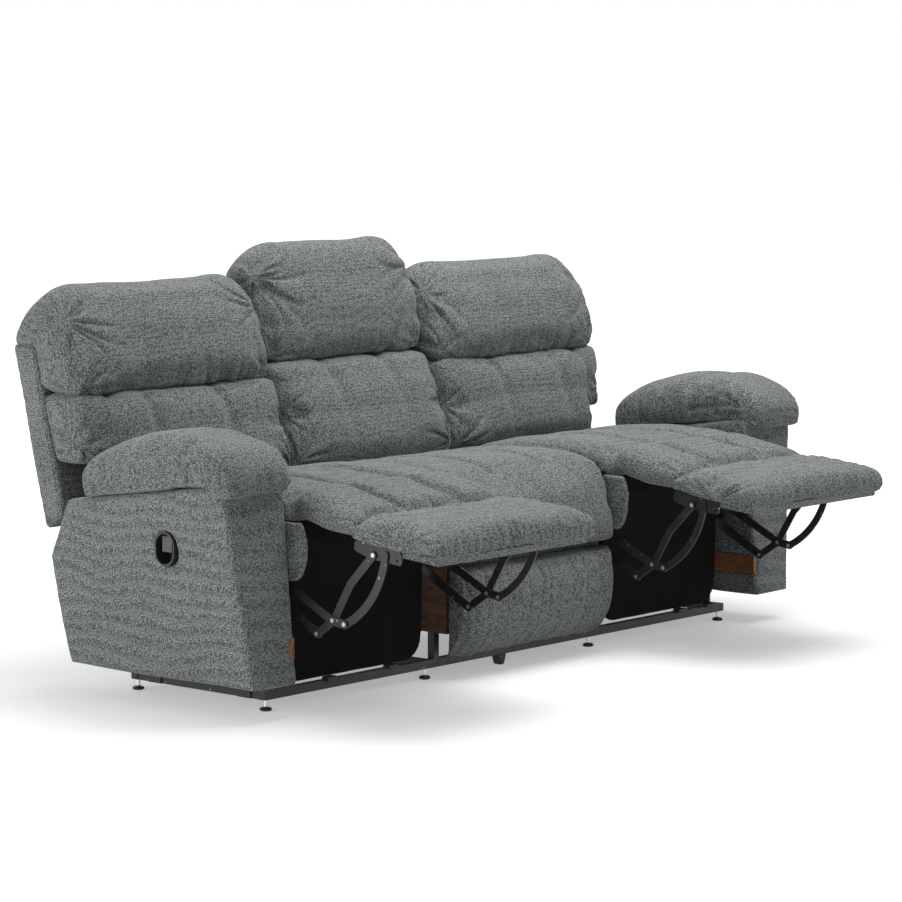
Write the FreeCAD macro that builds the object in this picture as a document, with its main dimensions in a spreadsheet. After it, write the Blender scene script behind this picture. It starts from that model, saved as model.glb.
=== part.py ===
import FreeCAD, Part
import math
import os
import Sketcher
from FreeCAD import Placement, Rotation, Vector

# Three-seat reclining sofa: two power-free end recliners with footrest linkages and a fixed middle seat.
# X runs along the sofa, Y towards the back and Z up, in millimetres; the footrests are out, as in use.
# Heights start at the floor, and depths are measured from the front face of the arms.

os.makedirs("parts", exist_ok=True)
doc = FreeCAD.newDocument("reclining_sofa")
sheet = doc.addObject("Spreadsheet::Sheet", "sizes")

SIZES = {
    # whole sofa
    "origin_setback": 213.1,
    "seat_centre": 580,
    "seat_half_width": 287,
    "middle_half_width": 288.5,
    "foam_gap": 0.4,
    # arms
    "arm_inner": 870,
    "arm_foot_width": 144,
    "arm_top_width": 198,
    "arm_bottom_height": 77,
    "arm_front_height": 537,
    "arm_front_lean": 40,
    "arm_rear_height": 467,
    "arm_rear_inset": 78,
    "arm_hip_depth": 629,
    "arm_hip_height": 330,
    "arm_foot_inset": 33,
    "arm_corner": 12,
    "arm_pad_inner": 868,
    "arm_pad_outer": 1084,
    "arm_pad_thickness": 118,
    "arm_pad_nose": 56,
    "arm_rail_thickness": 20,
    "arm_rail_bottom": 130,
    "arm_rail_height": 50,
    "arm_rail_start": 10,
    "arm_rail_end": 560,
    # release handle in the arm's outer side
    "handle_depth": 233,
    "handle_height": 380,
    "handle_straight": 15,
    "handle_radius": 31,
    "handle_wall": 4,
    "handle_floor": 6,
    "handle_inset": 46,
    "handle_face": 1056,
    "lever_thickness": 4,
    "lever_length": 34,
    "lever_half_width": 15,
    "lever_setback": 9,
    "lever_drop": 8,
    # base on the floor
    "rail_bottom": 26,
    "rail_height": 20,
    "rail_width": 20,
    "rail_half_length": 868,
    "front_rail_depth": 105,
    "rear_rail_depth": 520,
    "side_rail_width": 24,
    "side_rail_offset": 262,
    "arm_plate_thickness": 4,
    "arm_plate_width": 40,
    "arm_plate_top": 120,
    "arm_plate_front": 150,
    "arm_plate_rear": 440,
    "post_thickness": 5,
    "post_width": 40,
    "post_top": 302,
    "post_front": 235,
    "post_rear": 475,
    "post_gap": 2.5,
    "guide_pin_radius": 5,
    "guide_pin_height": 285,
    "guide_clearance": 0.2,
    "glide_radius": 14,
    "glide_thickness": 8,
    "glide_stem_radius": 5,
    "glide_outer": 855,
    "glide_inner": 311,
    # layers of the footrest mechanism, counted from the side plates towards the seat's centre
    "plate_offset": 273,
    "plate_thickness": 3,
    "layer_pitch": 5,
    "link_thickness": 4,
    "link_radius": 9,
    "drive_radius": 10,
    "radius_link_radius": 11,
    "rivet_radius": 3.5,
    "rivet_head_radius": 6,
    "rivet_head_thickness": 1.4,
    "rivet_clearance": 0.1,
    "open_pivot_clearance": 2.6,
    "shaft_radius": 8,
    "shaft_end": 3,
    "stud_radius": 5,
    "stud_boss_radius": 8,
    # pivots of the footrest mechanism with the footrest out
    "shaft_depth": 121,
    "shaft_height": 329,
    "stud_depth": 170,
    "stud_height": 299,
    "knee_depth": -86,
    "knee_height": 227,
    "heel_depth": -121,
    "heel_height": 222,
    "tail_depth": -33,
    "tail_height": 191,
    "bend_depth": -136,
    "bend_height": 313,
    "rear_pin_depth": -204,
    "rear_pin_height": 384,
    "front_pin_depth": -240,
    "front_pin_height": 387,
    "curve_radius": 215,
    # footrest, measured along and across its board from the rear pin
    "footrest_tilt": 5.3,
    "board_bottom": 8,
    "board_thickness": 16,
    "board_rear": 45,
    "board_front": 185,
    "bracket_rear": 60,
    "bracket_front": 80,
    "bracket_drop": 10,
    "bracket_slot_place": 68,
    "footrest_rear": 50,
    "footrest_front": 200,
    "footrest_top": 74,
    # chaise pad that bridges seat and footrest
    "bridge_half_width": 270,
    "bridge_pivot_depth": 21,
    "bridge_pivot_height": 477,
    "bridge_front_depth": -125,
    "bridge_front_height": 440,
    "bridge_half_thickness": 20,
    # seat box of each recliner
    "side_plate_front": 44,
    "side_plate_nose": 318,
    "side_plate_bottom": 262,
    "side_plate_top": 441,
    "side_plate_rear": 640,
    "back_hinge_depth": 610,
    "back_hinge_height": 400,
    "back_hinge_radius": 5,
    "slide_back": 15,
    "slide_forward": 25,
    "seat_rail_front": 70,
    "seat_rail_rear": 498,
    "seat_rail_width": 20,
    "seat_rail_bottom": 385,
    "strap_thickness": 3,
    "strap_width": 46,
    "strap_pitch": 86,
    "cushion_front": 41.95,
    "cushion_rear": 520,
    "cushion_crown": 502,
    "bolster_front": -20,
    "bolster_rear": 60,
    "bolster_bottom": 304,
    "bolster_top": 449,
    "apron_half_width": 240,
    "apron_bottom": 57,
    "apron_crease": 268,
    "apron_depth": 97,
    "apron_thickness": 12,
    "apron_corner": 60,
    # back rests of the recliners
    "back_inner": 299,
    "back_outer": 966,
    "back_rear_low": 724,
    "back_bottom": 372,
    "back_rear_high": 837,
    "back_top": 836,
    "back_frame_thickness": 70,
    "back_frame_top": 803,
    "back_seam": 691,
    "bracket_slack": 0.2,
    "back_crown": 951,
    # fixed middle seat
    "box_side_thickness": 18,
    "box_front": 66,
    "box_rear": 545,
    "box_side_rear": 700,
    "box_bottom": 110,
    "box_top": 400,
    "middle_crease": 274,
    "middle_skirt": 44,
    "middle_cushion_crown": 490,
    "middle_back_half_width": 296,
    "middle_back_rear_low": 720,
    "middle_back_rear_high": 812,
    "middle_back_top": 960,
    "middle_frame_thickness": 50,
    "middle_frame_top": 872,
    "middle_seam": 722,
    "middle_crown": 1022,
}
for row, (alias, number) in enumerate(SIZES.items(), start=1):
    sheet.set("A%d" % row, alias.replace("_", " "))
    sheet.set("B%d" % row, str(number))
    sheet.setAlias("B%d" % row, alias)
doc.recompute()


class Size:
    """A length together with its formula in the sheet, so that sums and shares stay bound to it."""

    def __init__(self, number, formula=None):
        self.number = float(number)
        self.formula = formula or repr(float(number))

    def combine(self, other, number, sign):
        return Size(number, "(%s %s %s)" % (self.formula, sign, other.formula))

    def __add__(self, other):
        other = as_size(other)
        return self.combine(other, self.number + other.number, "+")

    def __sub__(self, other):
        other = as_size(other)
        return self.combine(other, self.number - other.number, "-")

    def __mul__(self, other):
        other = as_size(other)
        return self.combine(other, self.number * other.number, "*")

    def __truediv__(self, other):
        other = as_size(other)
        return self.combine(other, self.number / other.number, "/")

    def __neg__(self):
        return Size(0) - self

    def __radd__(self, other):
        return as_size(other) + self

    def __rsub__(self, other):
        return as_size(other) - self

    __rmul__ = __mul__


def as_size(value):
    return value if isinstance(value, Size) else Size(value)


class Sheet:
    """Gives each cell of the sheet as an attribute."""

    def __getattr__(self, alias):
        return Size(sheet.get(alias), "sizes." + alias)


s = Sheet()
nodes = []


def bind(target, prop, size):
    target.setExpression(prop, as_size(size).formula)


def place(target, x, y=0, z=0):
    """Moves an object modelled from the arm's front face to the sofa's origin."""
    bind(target, "Placement.Base.x", x)
    bind(target, "Placement.Base.y", as_size(y) - s.origin_setback)
    bind(target, "Placement.Base.z", z)


def block(name, x, y, z):
    """A straight-edged board or bar; each direction is a start and a length."""
    box = doc.addObject("Part::Box", name)
    bind(box, "Length", x[1])
    bind(box, "Width", y[1])
    bind(box, "Height", z[1])
    place(box, x[0], y[0], z[0])
    return box


def rod(name, x, length, y, z, radius):
    """A round bar along X."""
    bar = doc.addObject("Part::Cylinder", name)
    bind(bar, "Radius", radius)
    bind(bar, "Height", length)
    bar.Placement = Placement(Vector(), Rotation(Vector(0, 1, 0), 90))
    place(bar, x, y, z)
    return bar


def fuse(name, pieces):
    joined = doc.addObject("Part::MultiFuse", name)
    joined.Shapes = pieces
    return joined


def group(name, pieces):
    joined = doc.addObject("Part::Compound", name)
    joined.Links = pieces
    return joined


def cut(name, base, tool):
    result = doc.addObject("Part::Cut", name)
    result.Base = base
    result.Tool = tool
    return result


def mirrored(name, piece, plane):
    """The mirror image of a piece in the upright plane at X = plane."""
    image = doc.addObject("Part::Mirroring", name)
    image.Source = piece
    image.Normal = Vector(1, 0, 0)
    bind(image, "Base.x", plane)
    return image


def both_sides(name, piece):
    """The piece and its image on the other side of the same seat."""
    return group(name, [piece, mirrored(name + "_opposite", piece, s.seat_centre)])


def keep(name, piece):
    piece.Label = name
    nodes.append(piece)
    return piece


def keep_pair(name, piece):
    """The right-hand piece and its mirror image on the left of the sofa."""
    keep("right_" + name, piece)
    keep("left_" + name, mirrored("left_" + name, piece, 0))


def new_body(name, x, frame="sofa"):
    """A body at X; in the footrest's frame Y and Z run along and across its tilted board."""
    body = doc.addObject("PartDesign::Body", name)
    if frame == "footrest":
        body.Placement = Placement(Vector(), Rotation(Vector(1, 0, 0), s.footrest_tilt.number))
        place(body, x, s.rear_pin_depth, s.rear_pin_height)
        bind(body, "Placement.Rotation.Angle", s.footrest_tilt)
    else:
        place(body, x)
    return body


def new_sketch(body, role="YZ_Plane"):
    sketch = body.newObject("Sketcher::SketchObject", body.Name + "_sketch")
    plane = [feature for feature in body.Origin.OriginFeatures if feature.Role == role][0]
    sketch.AttachmentSupport = [(plane, "")]
    sketch.MapMode = "FlatFace"
    return sketch


def fix_value(sketch, index, name, size):
    sketch.renameConstraint(index, name)
    bind(sketch, "Constraints." + name, size)


def fix_point(sketch, geometry, point, position):
    """Ties a sketch point to its two coordinates."""
    for kind, size in (("DistanceX", position[0]), ("DistanceY", position[1])):
        rule = Sketcher.Constraint(kind, -1, 1, geometry, point, size.number)
        fix_value(sketch, sketch.addConstraint(rule), "%s_%d_%d" % (kind, geometry, point), size)


def fix_radius(sketch, geometry, radius):
    rule = Sketcher.Constraint("Radius", geometry, radius.number)
    fix_value(sketch, sketch.addConstraint(rule), "radius_%d" % geometry, radius)


def flat(position):
    return Vector(position[0].number, position[1].number, 0)


def draw_polygon(sketch, corners):
    corners = [(as_size(first), as_size(second)) for first, second in corners]
    ring = corners[1:] + corners[:1]
    first = sketch.GeometryCount
    for start, end in zip(corners, ring):
        sketch.addGeometry(Part.LineSegment(flat(start), flat(end)))
    for step in range(len(corners)):
        following = first + (step + 1) % len(corners)
        sketch.addConstraint(Sketcher.Constraint("Coincident", first + step, 2, following, 1))
    for step, corner in enumerate(corners):
        fix_point(sketch, first + step, 1, corner)


def draw_circle(sketch, centre, radius):
    centre = (as_size(centre[0]), as_size(centre[1]))
    radius = as_size(radius)
    circle = sketch.addGeometry(Part.Circle(flat(centre), Vector(0, 0, 1), radius.number))
    fix_point(sketch, circle, 3, centre)
    fix_radius(sketch, circle, radius)


def draw_slot(sketch, start, end, radius):
    """A bar with round ends about two centres."""
    start = (as_size(start[0]), as_size(start[1]))
    end = (as_size(end[0]), as_size(end[1]))
    radius = as_size(radius)
    along = flat(end) - flat(start)
    heading = math.atan2(along.y, along.x)
    side = Vector(-math.sin(heading), math.cos(heading), 0) * radius.number
    quarter = math.pi / 2
    start_circle = Part.Circle(flat(start), Vector(0, 0, 1), radius.number)
    end_circle = Part.Circle(flat(end), Vector(0, 0, 1), radius.number)
    near = sketch.addGeometry(Part.ArcOfCircle(start_circle, heading + quarter, heading + 3 * quarter))
    far = sketch.addGeometry(Part.ArcOfCircle(end_circle, heading - quarter, heading + quarter))
    low = sketch.addGeometry(Part.LineSegment(flat(start) - side, flat(end) - side))
    high = sketch.addGeometry(Part.LineSegment(flat(end) + side, flat(start) + side))
    for one, one_end, other, other_end in ((near, 2, low, 1), (low, 2, far, 1), (far, 2, high, 1), (high, 2, near, 1)):
        sketch.addConstraint(Sketcher.Constraint("Tangent", one, one_end, other, other_end))
    sketch.addConstraint(Sketcher.Constraint("Equal", near, far))
    fix_radius(sketch, near, radius)
    fix_point(sketch, near, 3, start)
    fix_point(sketch, far, 3, end)


def draw_bow(sketch, start, end, width, curve):
    """A curved bar with round ends; its centre line bows below the straight line between the ends."""
    half = (flat(end) - flat(start)) * 0.5
    rise = math.sqrt(curve.number ** 2 - half.Length ** 2)
    across = Vector(-half.y, half.x, 0).normalize()
    centre = flat(start) + half + across * rise
    bow = {}
    axis = Vector(0, 0, 1)
    first = math.atan2(*reversed((flat(start) - centre)[:2]))
    last = math.atan2(*reversed((flat(end) - centre)[:2]))
    for name, radius in (("inner", curve.number - width.number), ("outer", curve.number + width.number)):
        circle = Part.Circle(centre, axis, radius)
        bow[name] = sketch.addGeometry(Part.ArcOfCircle(circle, first, last))
    start_circle = Part.Circle(flat(start), axis, width.number)
    end_circle = Part.Circle(flat(end), axis, width.number)
    near = sketch.addGeometry(Part.ArcOfCircle(start_circle, first + math.pi, first + 2 * math.pi))
    far = sketch.addGeometry(Part.ArcOfCircle(end_circle, last, last + math.pi))
    rules = ((near, 1, bow["inner"], 1), (near, 2, bow["outer"], 1), (far, 1, bow["outer"], 2), (far, 2, bow["inner"], 2))
    for one, one_end, other, other_end in rules:
        sketch.addConstraint(Sketcher.Constraint("Tangent", one, one_end, other, other_end))
    fix_radius(sketch, near, width)
    fix_radius(sketch, bow["outer"], curve + width)
    fix_point(sketch, near, 3, start)
    fix_point(sketch, far, 3, end)


def pad(body, sketch, length):
    feature = body.newObject("PartDesign::Pad", body.Name + "_pad")
    feature.Profile = sketch
    bind(feature, "Length", length)
    sketch.Visibility = False
    return feature


def pierce(body, sketch):
    """Cuts a sketch right through the body, both ways."""
    doc.recompute()
    before = body.Shape.Volume
    feature = body.newObject("PartDesign::Pocket", body.Name + "_pocket")
    feature.Profile = sketch
    feature.Type = "ThroughAll"
    feature.Midplane = True
    doc.recompute()
    if not body.Shape.Volume < before:
        raise RuntimeError("nothing was cut from " + body.Name)


def depth_and_height(pivot):
    return (getattr(s, pivot + "_depth"), getattr(s, pivot + "_height"))


def layer_start(number):
    """The outer face of a link layer, counted inwards from the side plate."""
    return s.seat_centre + s.plate_offset - s.layer_pitch * number - s.link_thickness / 2


def chain(name, layer, pivots, radius, holes):
    """A flat link along two or more pivots, with a round end at each, and its rivet holes."""
    body = new_body(name, layer_start(layer))
    for start, end in zip(pivots, pivots[1:]):
        sketch = new_sketch(body)
        draw_slot(sketch, depth_and_height(start), depth_and_height(end), radius)
        pad(body, sketch, s.link_thickness)
    sketch = new_sketch(body)
    for pivot, hole in holes:
        draw_circle(sketch, depth_and_height(pivot), hole)
    pierce(body, sketch)
    return body


def rivet(name, pivot, outer, inner, radius, head=True):
    """A pin from one layer's middle through another layer, flush there or with a flat head on it."""
    y, z = depth_and_height(pivot)
    end = layer_start(inner) - (s.layer_pitch * 0.02 if head else Size(0))
    start = layer_start(outer) + s.link_thickness / 2
    pieces = [rod(name + "_shank", end, start - end, y, z, radius)]
    if head:
        head_start = end - s.rivet_head_thickness
        pieces.append(rod(name + "_head", head_start, s.rivet_head_thickness, y, z, s.rivet_head_radius))
    return pieces


# Soft pieces: a section of lines and arcs, swept as a ruled loft with its ends drawn in.

def section(corners, bulges, x, inset=0.0):
    """One closed outline across X; every side bows outwards by its bulge."""
    middle_y = sum(corner[0] for corner in corners) / len(corners)
    middle_z = sum(corner[1] for corner in corners) / len(corners)
    points = []
    for y, z in corners:
        reach = math.hypot(y - middle_y, z - middle_z)
        share = 1.0 - inset / reach
        points.append(Vector(x, middle_y + (y - middle_y) * share, middle_z + (z - middle_z) * share))
    turn = sum(a.y * b.z - b.y * a.z for a, b in zip(points, points[1:] + points[:1]))
    outwards = 1 if turn > 0 else -1
    edges = []
    for start, end, bulge in zip(points, points[1:] + points[:1], bulges):
        if abs(bulge) < 0.05:
            edges.append(Part.LineSegment(start, end).toShape())
            continue
        along = end - start
        normal = Vector(0, along.z, -along.y).normalize() * outwards
        middle = (start + end) * 0.5 + normal * bulge
        edges.append(Part.Arc(start, middle, end).toShape())
    return Part.Wire(edges)


def soft_piece(name, stations, tilt=None):
    """A cushion lofted through its stations, each a tuple for section()."""
    piece = doc.addObject("Part::Feature", name)
    piece.Shape = Part.makeLoft([section(*station) for station in stations], True, True)
    piece.Placement = Placement(Vector(0, -s.origin_setback.number, 0), Rotation())
    return piece


def crowned(first, last, roll):
    """Stations along a cushion's width: how far in, and how much of the end roll is drawn in there."""
    places = ((0.0, 1.0), (0.15, 0.42), (0.5, 0.12), (1.0, 0.0))
    ends = [(first + roll * place, share) for place, share in places]
    other = [(last - roll * place, share) for place, share in reversed(places)]
    return ends + other


def cushion(name, corners, bulges, first, last, roll, inset):
    stations = [(corners, bulges, x, inset * share) for x, share in crowned(first, last, roll)]
    return soft_piece(name, stations)


# Base: two long steel rails joined by side rails, with posts for the seat boxes and feet below.

rail_z = (s.rail_bottom, s.rail_height)
rail_x = (-s.rail_half_length, s.rail_half_length * 2)
keep("base_front_rail", block("front_rail", rail_x, (s.front_rail_depth, s.rail_width), rail_z))
keep("base_rear_rail", block("rear_rail", rail_x, (s.rear_rail_depth, s.rail_width), rail_z))


def side_rails():
    start = s.front_rail_depth + s.rail_width
    reach = (start, s.rear_rail_depth - start)
    outer_x = s.seat_centre + s.side_rail_offset
    inner_x = s.seat_centre - s.side_rail_offset - s.side_rail_width
    outer = block("side_rail_outer", (outer_x, s.side_rail_width), reach, rail_z)
    inner = block("side_rail_inner", (inner_x, s.side_rail_width), reach, rail_z)
    plates = []
    for name, depth in (("arm_plate_front", s.arm_plate_front), ("arm_plate_rear", s.arm_plate_rear)):
        plate_x = (s.arm_inner - s.arm_plate_thickness, s.arm_plate_thickness)
        plate_z = (s.rail_bottom, s.arm_plate_top - s.rail_bottom)
        plates.append(block(name + "_bar", plate_x, (depth, s.arm_plate_width), plate_z))
    right = group("right_side_rails", [fuse("outer_rail", [outer] + plates), inner])
    return group("side_rails", [right, mirrored("left_side_rails", right, 0)])


keep("base_side_rails", side_rails())


def carriage_post(name, depth):
    """A flat post that stands on a side rail and guides the seat box on a fixed pin."""
    rail_top = s.rail_bottom + s.rail_height
    inner = s.seat_centre + s.plate_offset + s.plate_thickness / 2 + s.post_gap
    x = (inner, s.post_thickness)
    upright = block(name, x, (depth - s.post_width / 2, s.post_width), (rail_top, s.post_top - rail_top))
    pin_start = s.seat_centre + s.plate_offset - s.plate_thickness / 2
    pin = rod(name + "_pin", pin_start, inner - pin_start, depth, s.guide_pin_height, s.guide_pin_radius)
    return fuse(name + "_with_pin", [upright, pin])


def posts():
    pieces = []
    for name, depth in (("front_post", s.post_front), ("rear_post", s.post_rear)):
        post = carriage_post(name, depth)
        pieces += [post, mirrored(name + "_inner", post, s.seat_centre)]
    rail_top = s.rail_bottom + s.rail_height
    x = (s.middle_half_width - s.box_side_thickness, s.box_side_thickness)
    for name, depth in (("box_foot_front", s.front_rail_depth), ("box_foot_rear", s.rear_rail_depth)):
        pieces.append(block(name, x, (depth, s.rail_width), (rail_top, s.box_bottom - rail_top)))
    right = group("right_posts", pieces)
    return group("posts", [right, mirrored("left_posts", right, 0)])


keep("base_posts", posts())


def glide(name, x, depth):
    """A levelling foot: a disc on a stem that ends under the rail."""
    body = doc.addObject("PartDesign::Body", name)
    place(body, x, depth)
    sketch = new_sketch(body, "XZ_Plane")
    zero = Size(0)
    lip = s.glide_radius - 3
    outline = [(zero, zero), (lip, zero), (s.glide_radius, Size(2)), (s.glide_radius, Size(5)),
               (lip, s.glide_thickness), (s.glide_stem_radius, s.glide_thickness),
               (s.glide_stem_radius, s.rail_bottom), (zero, s.rail_bottom)]
    draw_polygon(sketch, outline)
    turned = body.newObject("PartDesign::Revolution", name + "_turned")
    turned.Profile = sketch
    turned.ReferenceAxis = (sketch, ["V_Axis"])
    turned.Angle = 360
    return body


def glides():
    pieces = []
    for side, x in (("outer", s.glide_outer), ("inner", s.glide_inner)):
        for end, rail in (("front", s.front_rail_depth), ("rear", s.rear_rail_depth)):
            pieces.append(glide("%s_%s_glide" % (side, end), x, rail + s.rail_width / 2))
    right = group("right_glides", pieces)
    return group("glides", [right, mirrored("left_glides", right, 0)])


keep("glides", glides())


# Arms: an upholstered box with leaning front and outer faces, a wooden rail in its inner side.

def arm_body():
    side = new_body("arm_side", s.arm_inner)
    sketch = new_sketch(side)
    front_foot = (Size(0), s.arm_bottom_height)
    draw_polygon(sketch, [
        front_foot,
        (s.arm_front_lean, s.arm_front_height),
        (s.arm_hip_depth - s.arm_rear_inset, s.arm_rear_height),
        (s.arm_hip_depth, s.arm_hip_height),
        (s.arm_hip_depth - s.arm_foot_inset, s.arm_bottom_height),
    ])
    pad(side, sketch, s.arm_top_width)
    front = doc.addObject("PartDesign::Body", "arm_front")
    place(front, s.arm_inner)
    sketch = new_sketch(front, "XZ_Plane")
    tall = s.arm_front_height
    draw_polygon(sketch, [
        (Size(0), s.arm_bottom_height),
        (s.arm_foot_width, s.arm_bottom_height),
        (s.arm_top_width, tall),
        (Size(0), tall),
    ])
    through = pad(front, sketch, s.arm_hip_depth * 2)
    through.Midplane = True
    return side, front


def make_arm():
    arm = doc.addObject("Part::MultiCommon", "arm_block")
    arm.Shapes = list(arm_body())
    doc.recompute()
    rounded = doc.addObject("Part::Fillet", "arm_rounded")
    rounded.Base = arm
    chosen = []
    for number, edge in enumerate(arm.Shape.Edges, start=1):
        box = edge.BoundBox
        outer_side = box.XMin > s.arm_inner.number + 1
        if outer_side and box.ZMax > s.arm_bottom_height.number + 1:
            chosen.append((number, s.arm_corner.number, s.arm_corner.number))
    rounded.Edges = chosen
    recess_x = (s.arm_inner, s.arm_rail_thickness)
    recess = block("arm_recess", recess_x, (s.arm_rail_start, s.arm_rail_end - s.arm_rail_start),
                   (s.arm_rail_bottom, s.arm_rail_height))
    cup = new_body("arm_cup_hole", s.handle_face - s.handle_inset)
    sketch = new_sketch(cup)
    draw_slot(sketch, (s.handle_depth, s.handle_height - s.handle_straight / 2),
              (s.handle_depth, s.handle_height + s.handle_straight / 2), s.handle_radius + s.foam_gap)
    pad(cup, sketch, s.handle_inset + s.handle_inset)
    return arm, cut("arm_cut", rounded, fuse("arm_hollows", [recess, cup]))


arm_block, arm_shape = make_arm()
keep_pair("arm_body", arm_shape)


def arm_rails():
    x = (s.arm_inner, s.arm_rail_thickness)
    y = (s.arm_rail_start, s.arm_rail_end - s.arm_rail_start)
    rail = block("arm_rail", x, y, (s.arm_rail_bottom, s.arm_rail_height))
    return group("arm_rails", [rail, mirrored("left_arm_rail", rail, 0)])


keep("arm_inner_rails", arm_rails())


def arm_pad():
    """The pillow over the arm: a high front lobe that hangs over the edge, a dip and a lower rear lobe."""
    front = s.arm_front_height.number
    slope = (s.arm_front_height.number - s.arm_rear_height.number)
    lean = s.arm_front_lean.number
    rear = (s.arm_hip_depth - s.arm_rear_inset).number
    slope /= rear - lean
    thick = s.arm_pad_thickness.number
    nose = s.arm_pad_nose.number

    def over(y, share):
        """A point above the arm's sloping top."""
        return (y, front - slope * (y - lean) + thick * share)

    corners = [
        over(lean, 0.0),
        (0.25 * lean, front - 0.12 * thick),
        (-0.8 * nose, front - 0.18 * thick),
        (-nose, front + 0.2 * thick),
        (0.4 * lean, front + 0.7 * thick),
        over(0.44 * rear, 1.08),
        over(0.66 * rear, 1.0),
        over(0.88 * rear, 0.83),
        over(rear, 0.5),
        over(rear, 0.0),
    ]
    bulges = [2, 3, 5, 10, 10, 6, 4, 6, 4, 0]
    return cushion("arm_pad", corners, bulges, s.arm_pad_inner.number, s.arm_pad_outer.number, 55, 24)


keep_pair("arm_pad", cut("arm_pad_seated", arm_pad(), arm_block))


def handle_cup():
    """An oval cup let into the arm, open outwards for the fingers."""
    body = new_body("handle_cup", s.handle_face - s.handle_inset)
    low = (s.handle_depth, s.handle_height - s.handle_straight / 2)
    high = (s.handle_depth, s.handle_height + s.handle_straight / 2)
    sketch = new_sketch(body)
    draw_slot(sketch, low, high, s.handle_radius)
    pad(body, sketch, s.handle_inset)
    hollow = new_body("handle_hollow", s.handle_face - s.handle_inset + s.handle_floor)
    sketch = new_sketch(hollow)
    draw_slot(sketch, low, high, s.handle_radius - s.handle_wall)
    pad(hollow, sketch, s.handle_inset)
    return cut("handle_bezel", body, hollow)


cup = handle_cup()
keep("handle_bezels", group("handle_cups", [cup, mirrored("left_handle_cup", cup, 0)]))


def handle_lever():
    """The pull lever in the cup's upper half, with its hinge rod across the top."""
    top = s.handle_height + s.handle_straight / 2 + s.handle_radius - s.handle_wall - s.lever_drop
    x = s.handle_face - s.lever_setback - s.lever_thickness
    y = (s.handle_depth - s.lever_half_width, s.lever_half_width * 2)
    blade = block("lever_blade", (x, s.lever_thickness), y, (top - s.lever_length, s.lever_length))
    hinge = doc.addObject("Part::Cylinder", "lever_hinge")
    bind(hinge, "Radius", s.lever_thickness * 0.75)
    bind(hinge, "Height", s.lever_half_width * 2)
    hinge.Placement = Placement(Vector(), Rotation(Vector(1, 0, 0), -90))
    place(hinge, x + s.lever_thickness / 2, s.handle_depth - s.lever_half_width, top)
    return fuse("lever", [blade, hinge])


keep_pair("handle_lever", handle_lever())


# Fixed middle seat: a wooden box on the base rails, with straps, cushions and a front panel.

def middle_box():
    depth = (s.box_front, s.box_side_rear - s.box_front)
    height = (s.box_bottom, s.box_top - s.box_bottom)
    side_x = (s.middle_half_width - s.box_side_thickness, s.box_side_thickness)
    side = block("box_side", side_x, depth, height)
    keep("middle_seat_sides", group("box_sides", [side, mirrored("box_side_left", side, 0)]))
    half = s.middle_half_width - s.box_side_thickness
    board_x = (-half, half * 2)
    front = block("box_front_board", board_x, (s.box_front, s.box_side_thickness), height)
    keep("middle_front_rail", front)
    rear_start = s.box_rear - s.box_side_thickness
    rear = block("box_rear_board", board_x, (rear_start, s.box_side_thickness), height)
    keep("middle_rear_rail", rear)


def straps(name, centre, start, end, bottom):
    pieces = []
    for number in range(6):
        middle = centre + s.strap_pitch * (number - 2.5)
        x = (middle - s.strap_width / 2, s.strap_width)
        pieces.append(block("%s_%d" % (name, number + 1), x, (start, end - start), (bottom, s.strap_thickness)))
    return group(name + "_set", pieces)


middle_box()
keep("middle_straps", straps("middle_strap", Size(0), s.box_front, s.box_rear, s.box_top))


def middle_front_pad():
    """The padded front panel, gathered into upright pleats."""
    board = s.box_front.number
    crease = s.middle_crease.number
    skirt = s.middle_skirt.number
    corners = [(board, crease - 2), (8, crease - 3), (-3, 200), (6, 131), (30, 72), (58, skirt + 2),
               (board - 0.4, skirt + 20)]
    bulges = [0, 3, 3, 5, 6, 2, 0]
    half = s.middle_half_width.number
    pleats = 8
    stations = []
    for number in range(2 * pleats + 1):
        x = -half + 2 * half * number / (2 * pleats)
        edge = abs(x) / half
        drawn = 14 * max(0.0, edge - 0.86) / 0.14 + (3.0 if number % 2 else 0.0)
        shaped = [corners[0]] + [(y + drawn, z) for y, z in corners[1:4]]
        shaped += [(y + drawn, z + drawn * 0.6) for y, z in corners[4:6]] + [corners[6]]
        stations.append((shaped, bulges, x))
    return soft_piece("middle_front_panel", stations)


keep("middle_front_pad", middle_front_pad())


def middle_cushion():
    """The waterfall cushion, rolled over the front board down to the crease."""
    board = s.box_front.number
    bottom = s.box_top.number + s.strap_thickness.number
    crown = s.middle_cushion_crown.number
    corners = [(board, bottom), (board, s.middle_crease.number + 2), (12, s.middle_crease.number + 2),
               (24, 381), (43, 452), (94, crown - 6), (280, crown), (530, crown - 34), (538, bottom)]
    bulges = [0, 2, 6, 4, 6, 4, 5, 6, 0]
    half = s.middle_half_width.number
    stations = []
    for x, share in crowned(-half, half, 60):
        drop = 16 * share
        shaped = corners[:2] + [(y + 0.5 * drop, z - 0.3 * drop) for y, z in corners[2:6]]
        shaped[2] = (12 + 0.5 * drop, s.middle_crease.number + 2)
        shaped += [(y, z - drop) for y, z in corners[6:8]] + [corners[8]]
        stations.append((shaped, bulges, x))
    return soft_piece("middle_seat_cushion", stations)


keep("middle_cushion", middle_cushion())


def leaning_panel(name, x, width, low, high, top, thickness, foot):
    """A back panel along the line low to high; its bottom front corner is raised by foot."""
    body = new_body(name, x)
    sketch = new_sketch(body)
    slope = (high[0] - low[0]) / (high[1] - low[1])
    rear_top = low[0] + (top - low[1]) * slope
    draw_polygon(sketch, [
        (low[0] - thickness + foot * slope, low[1] + foot),
        low,
        (rear_top, top),
        (rear_top - thickness, top),
    ])
    pad(body, sketch, width)
    return body


def line_at(low, high, z):
    return low[0] + (z - low[1]) * (high[0] - low[0]) / (high[1] - low[1])


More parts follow.
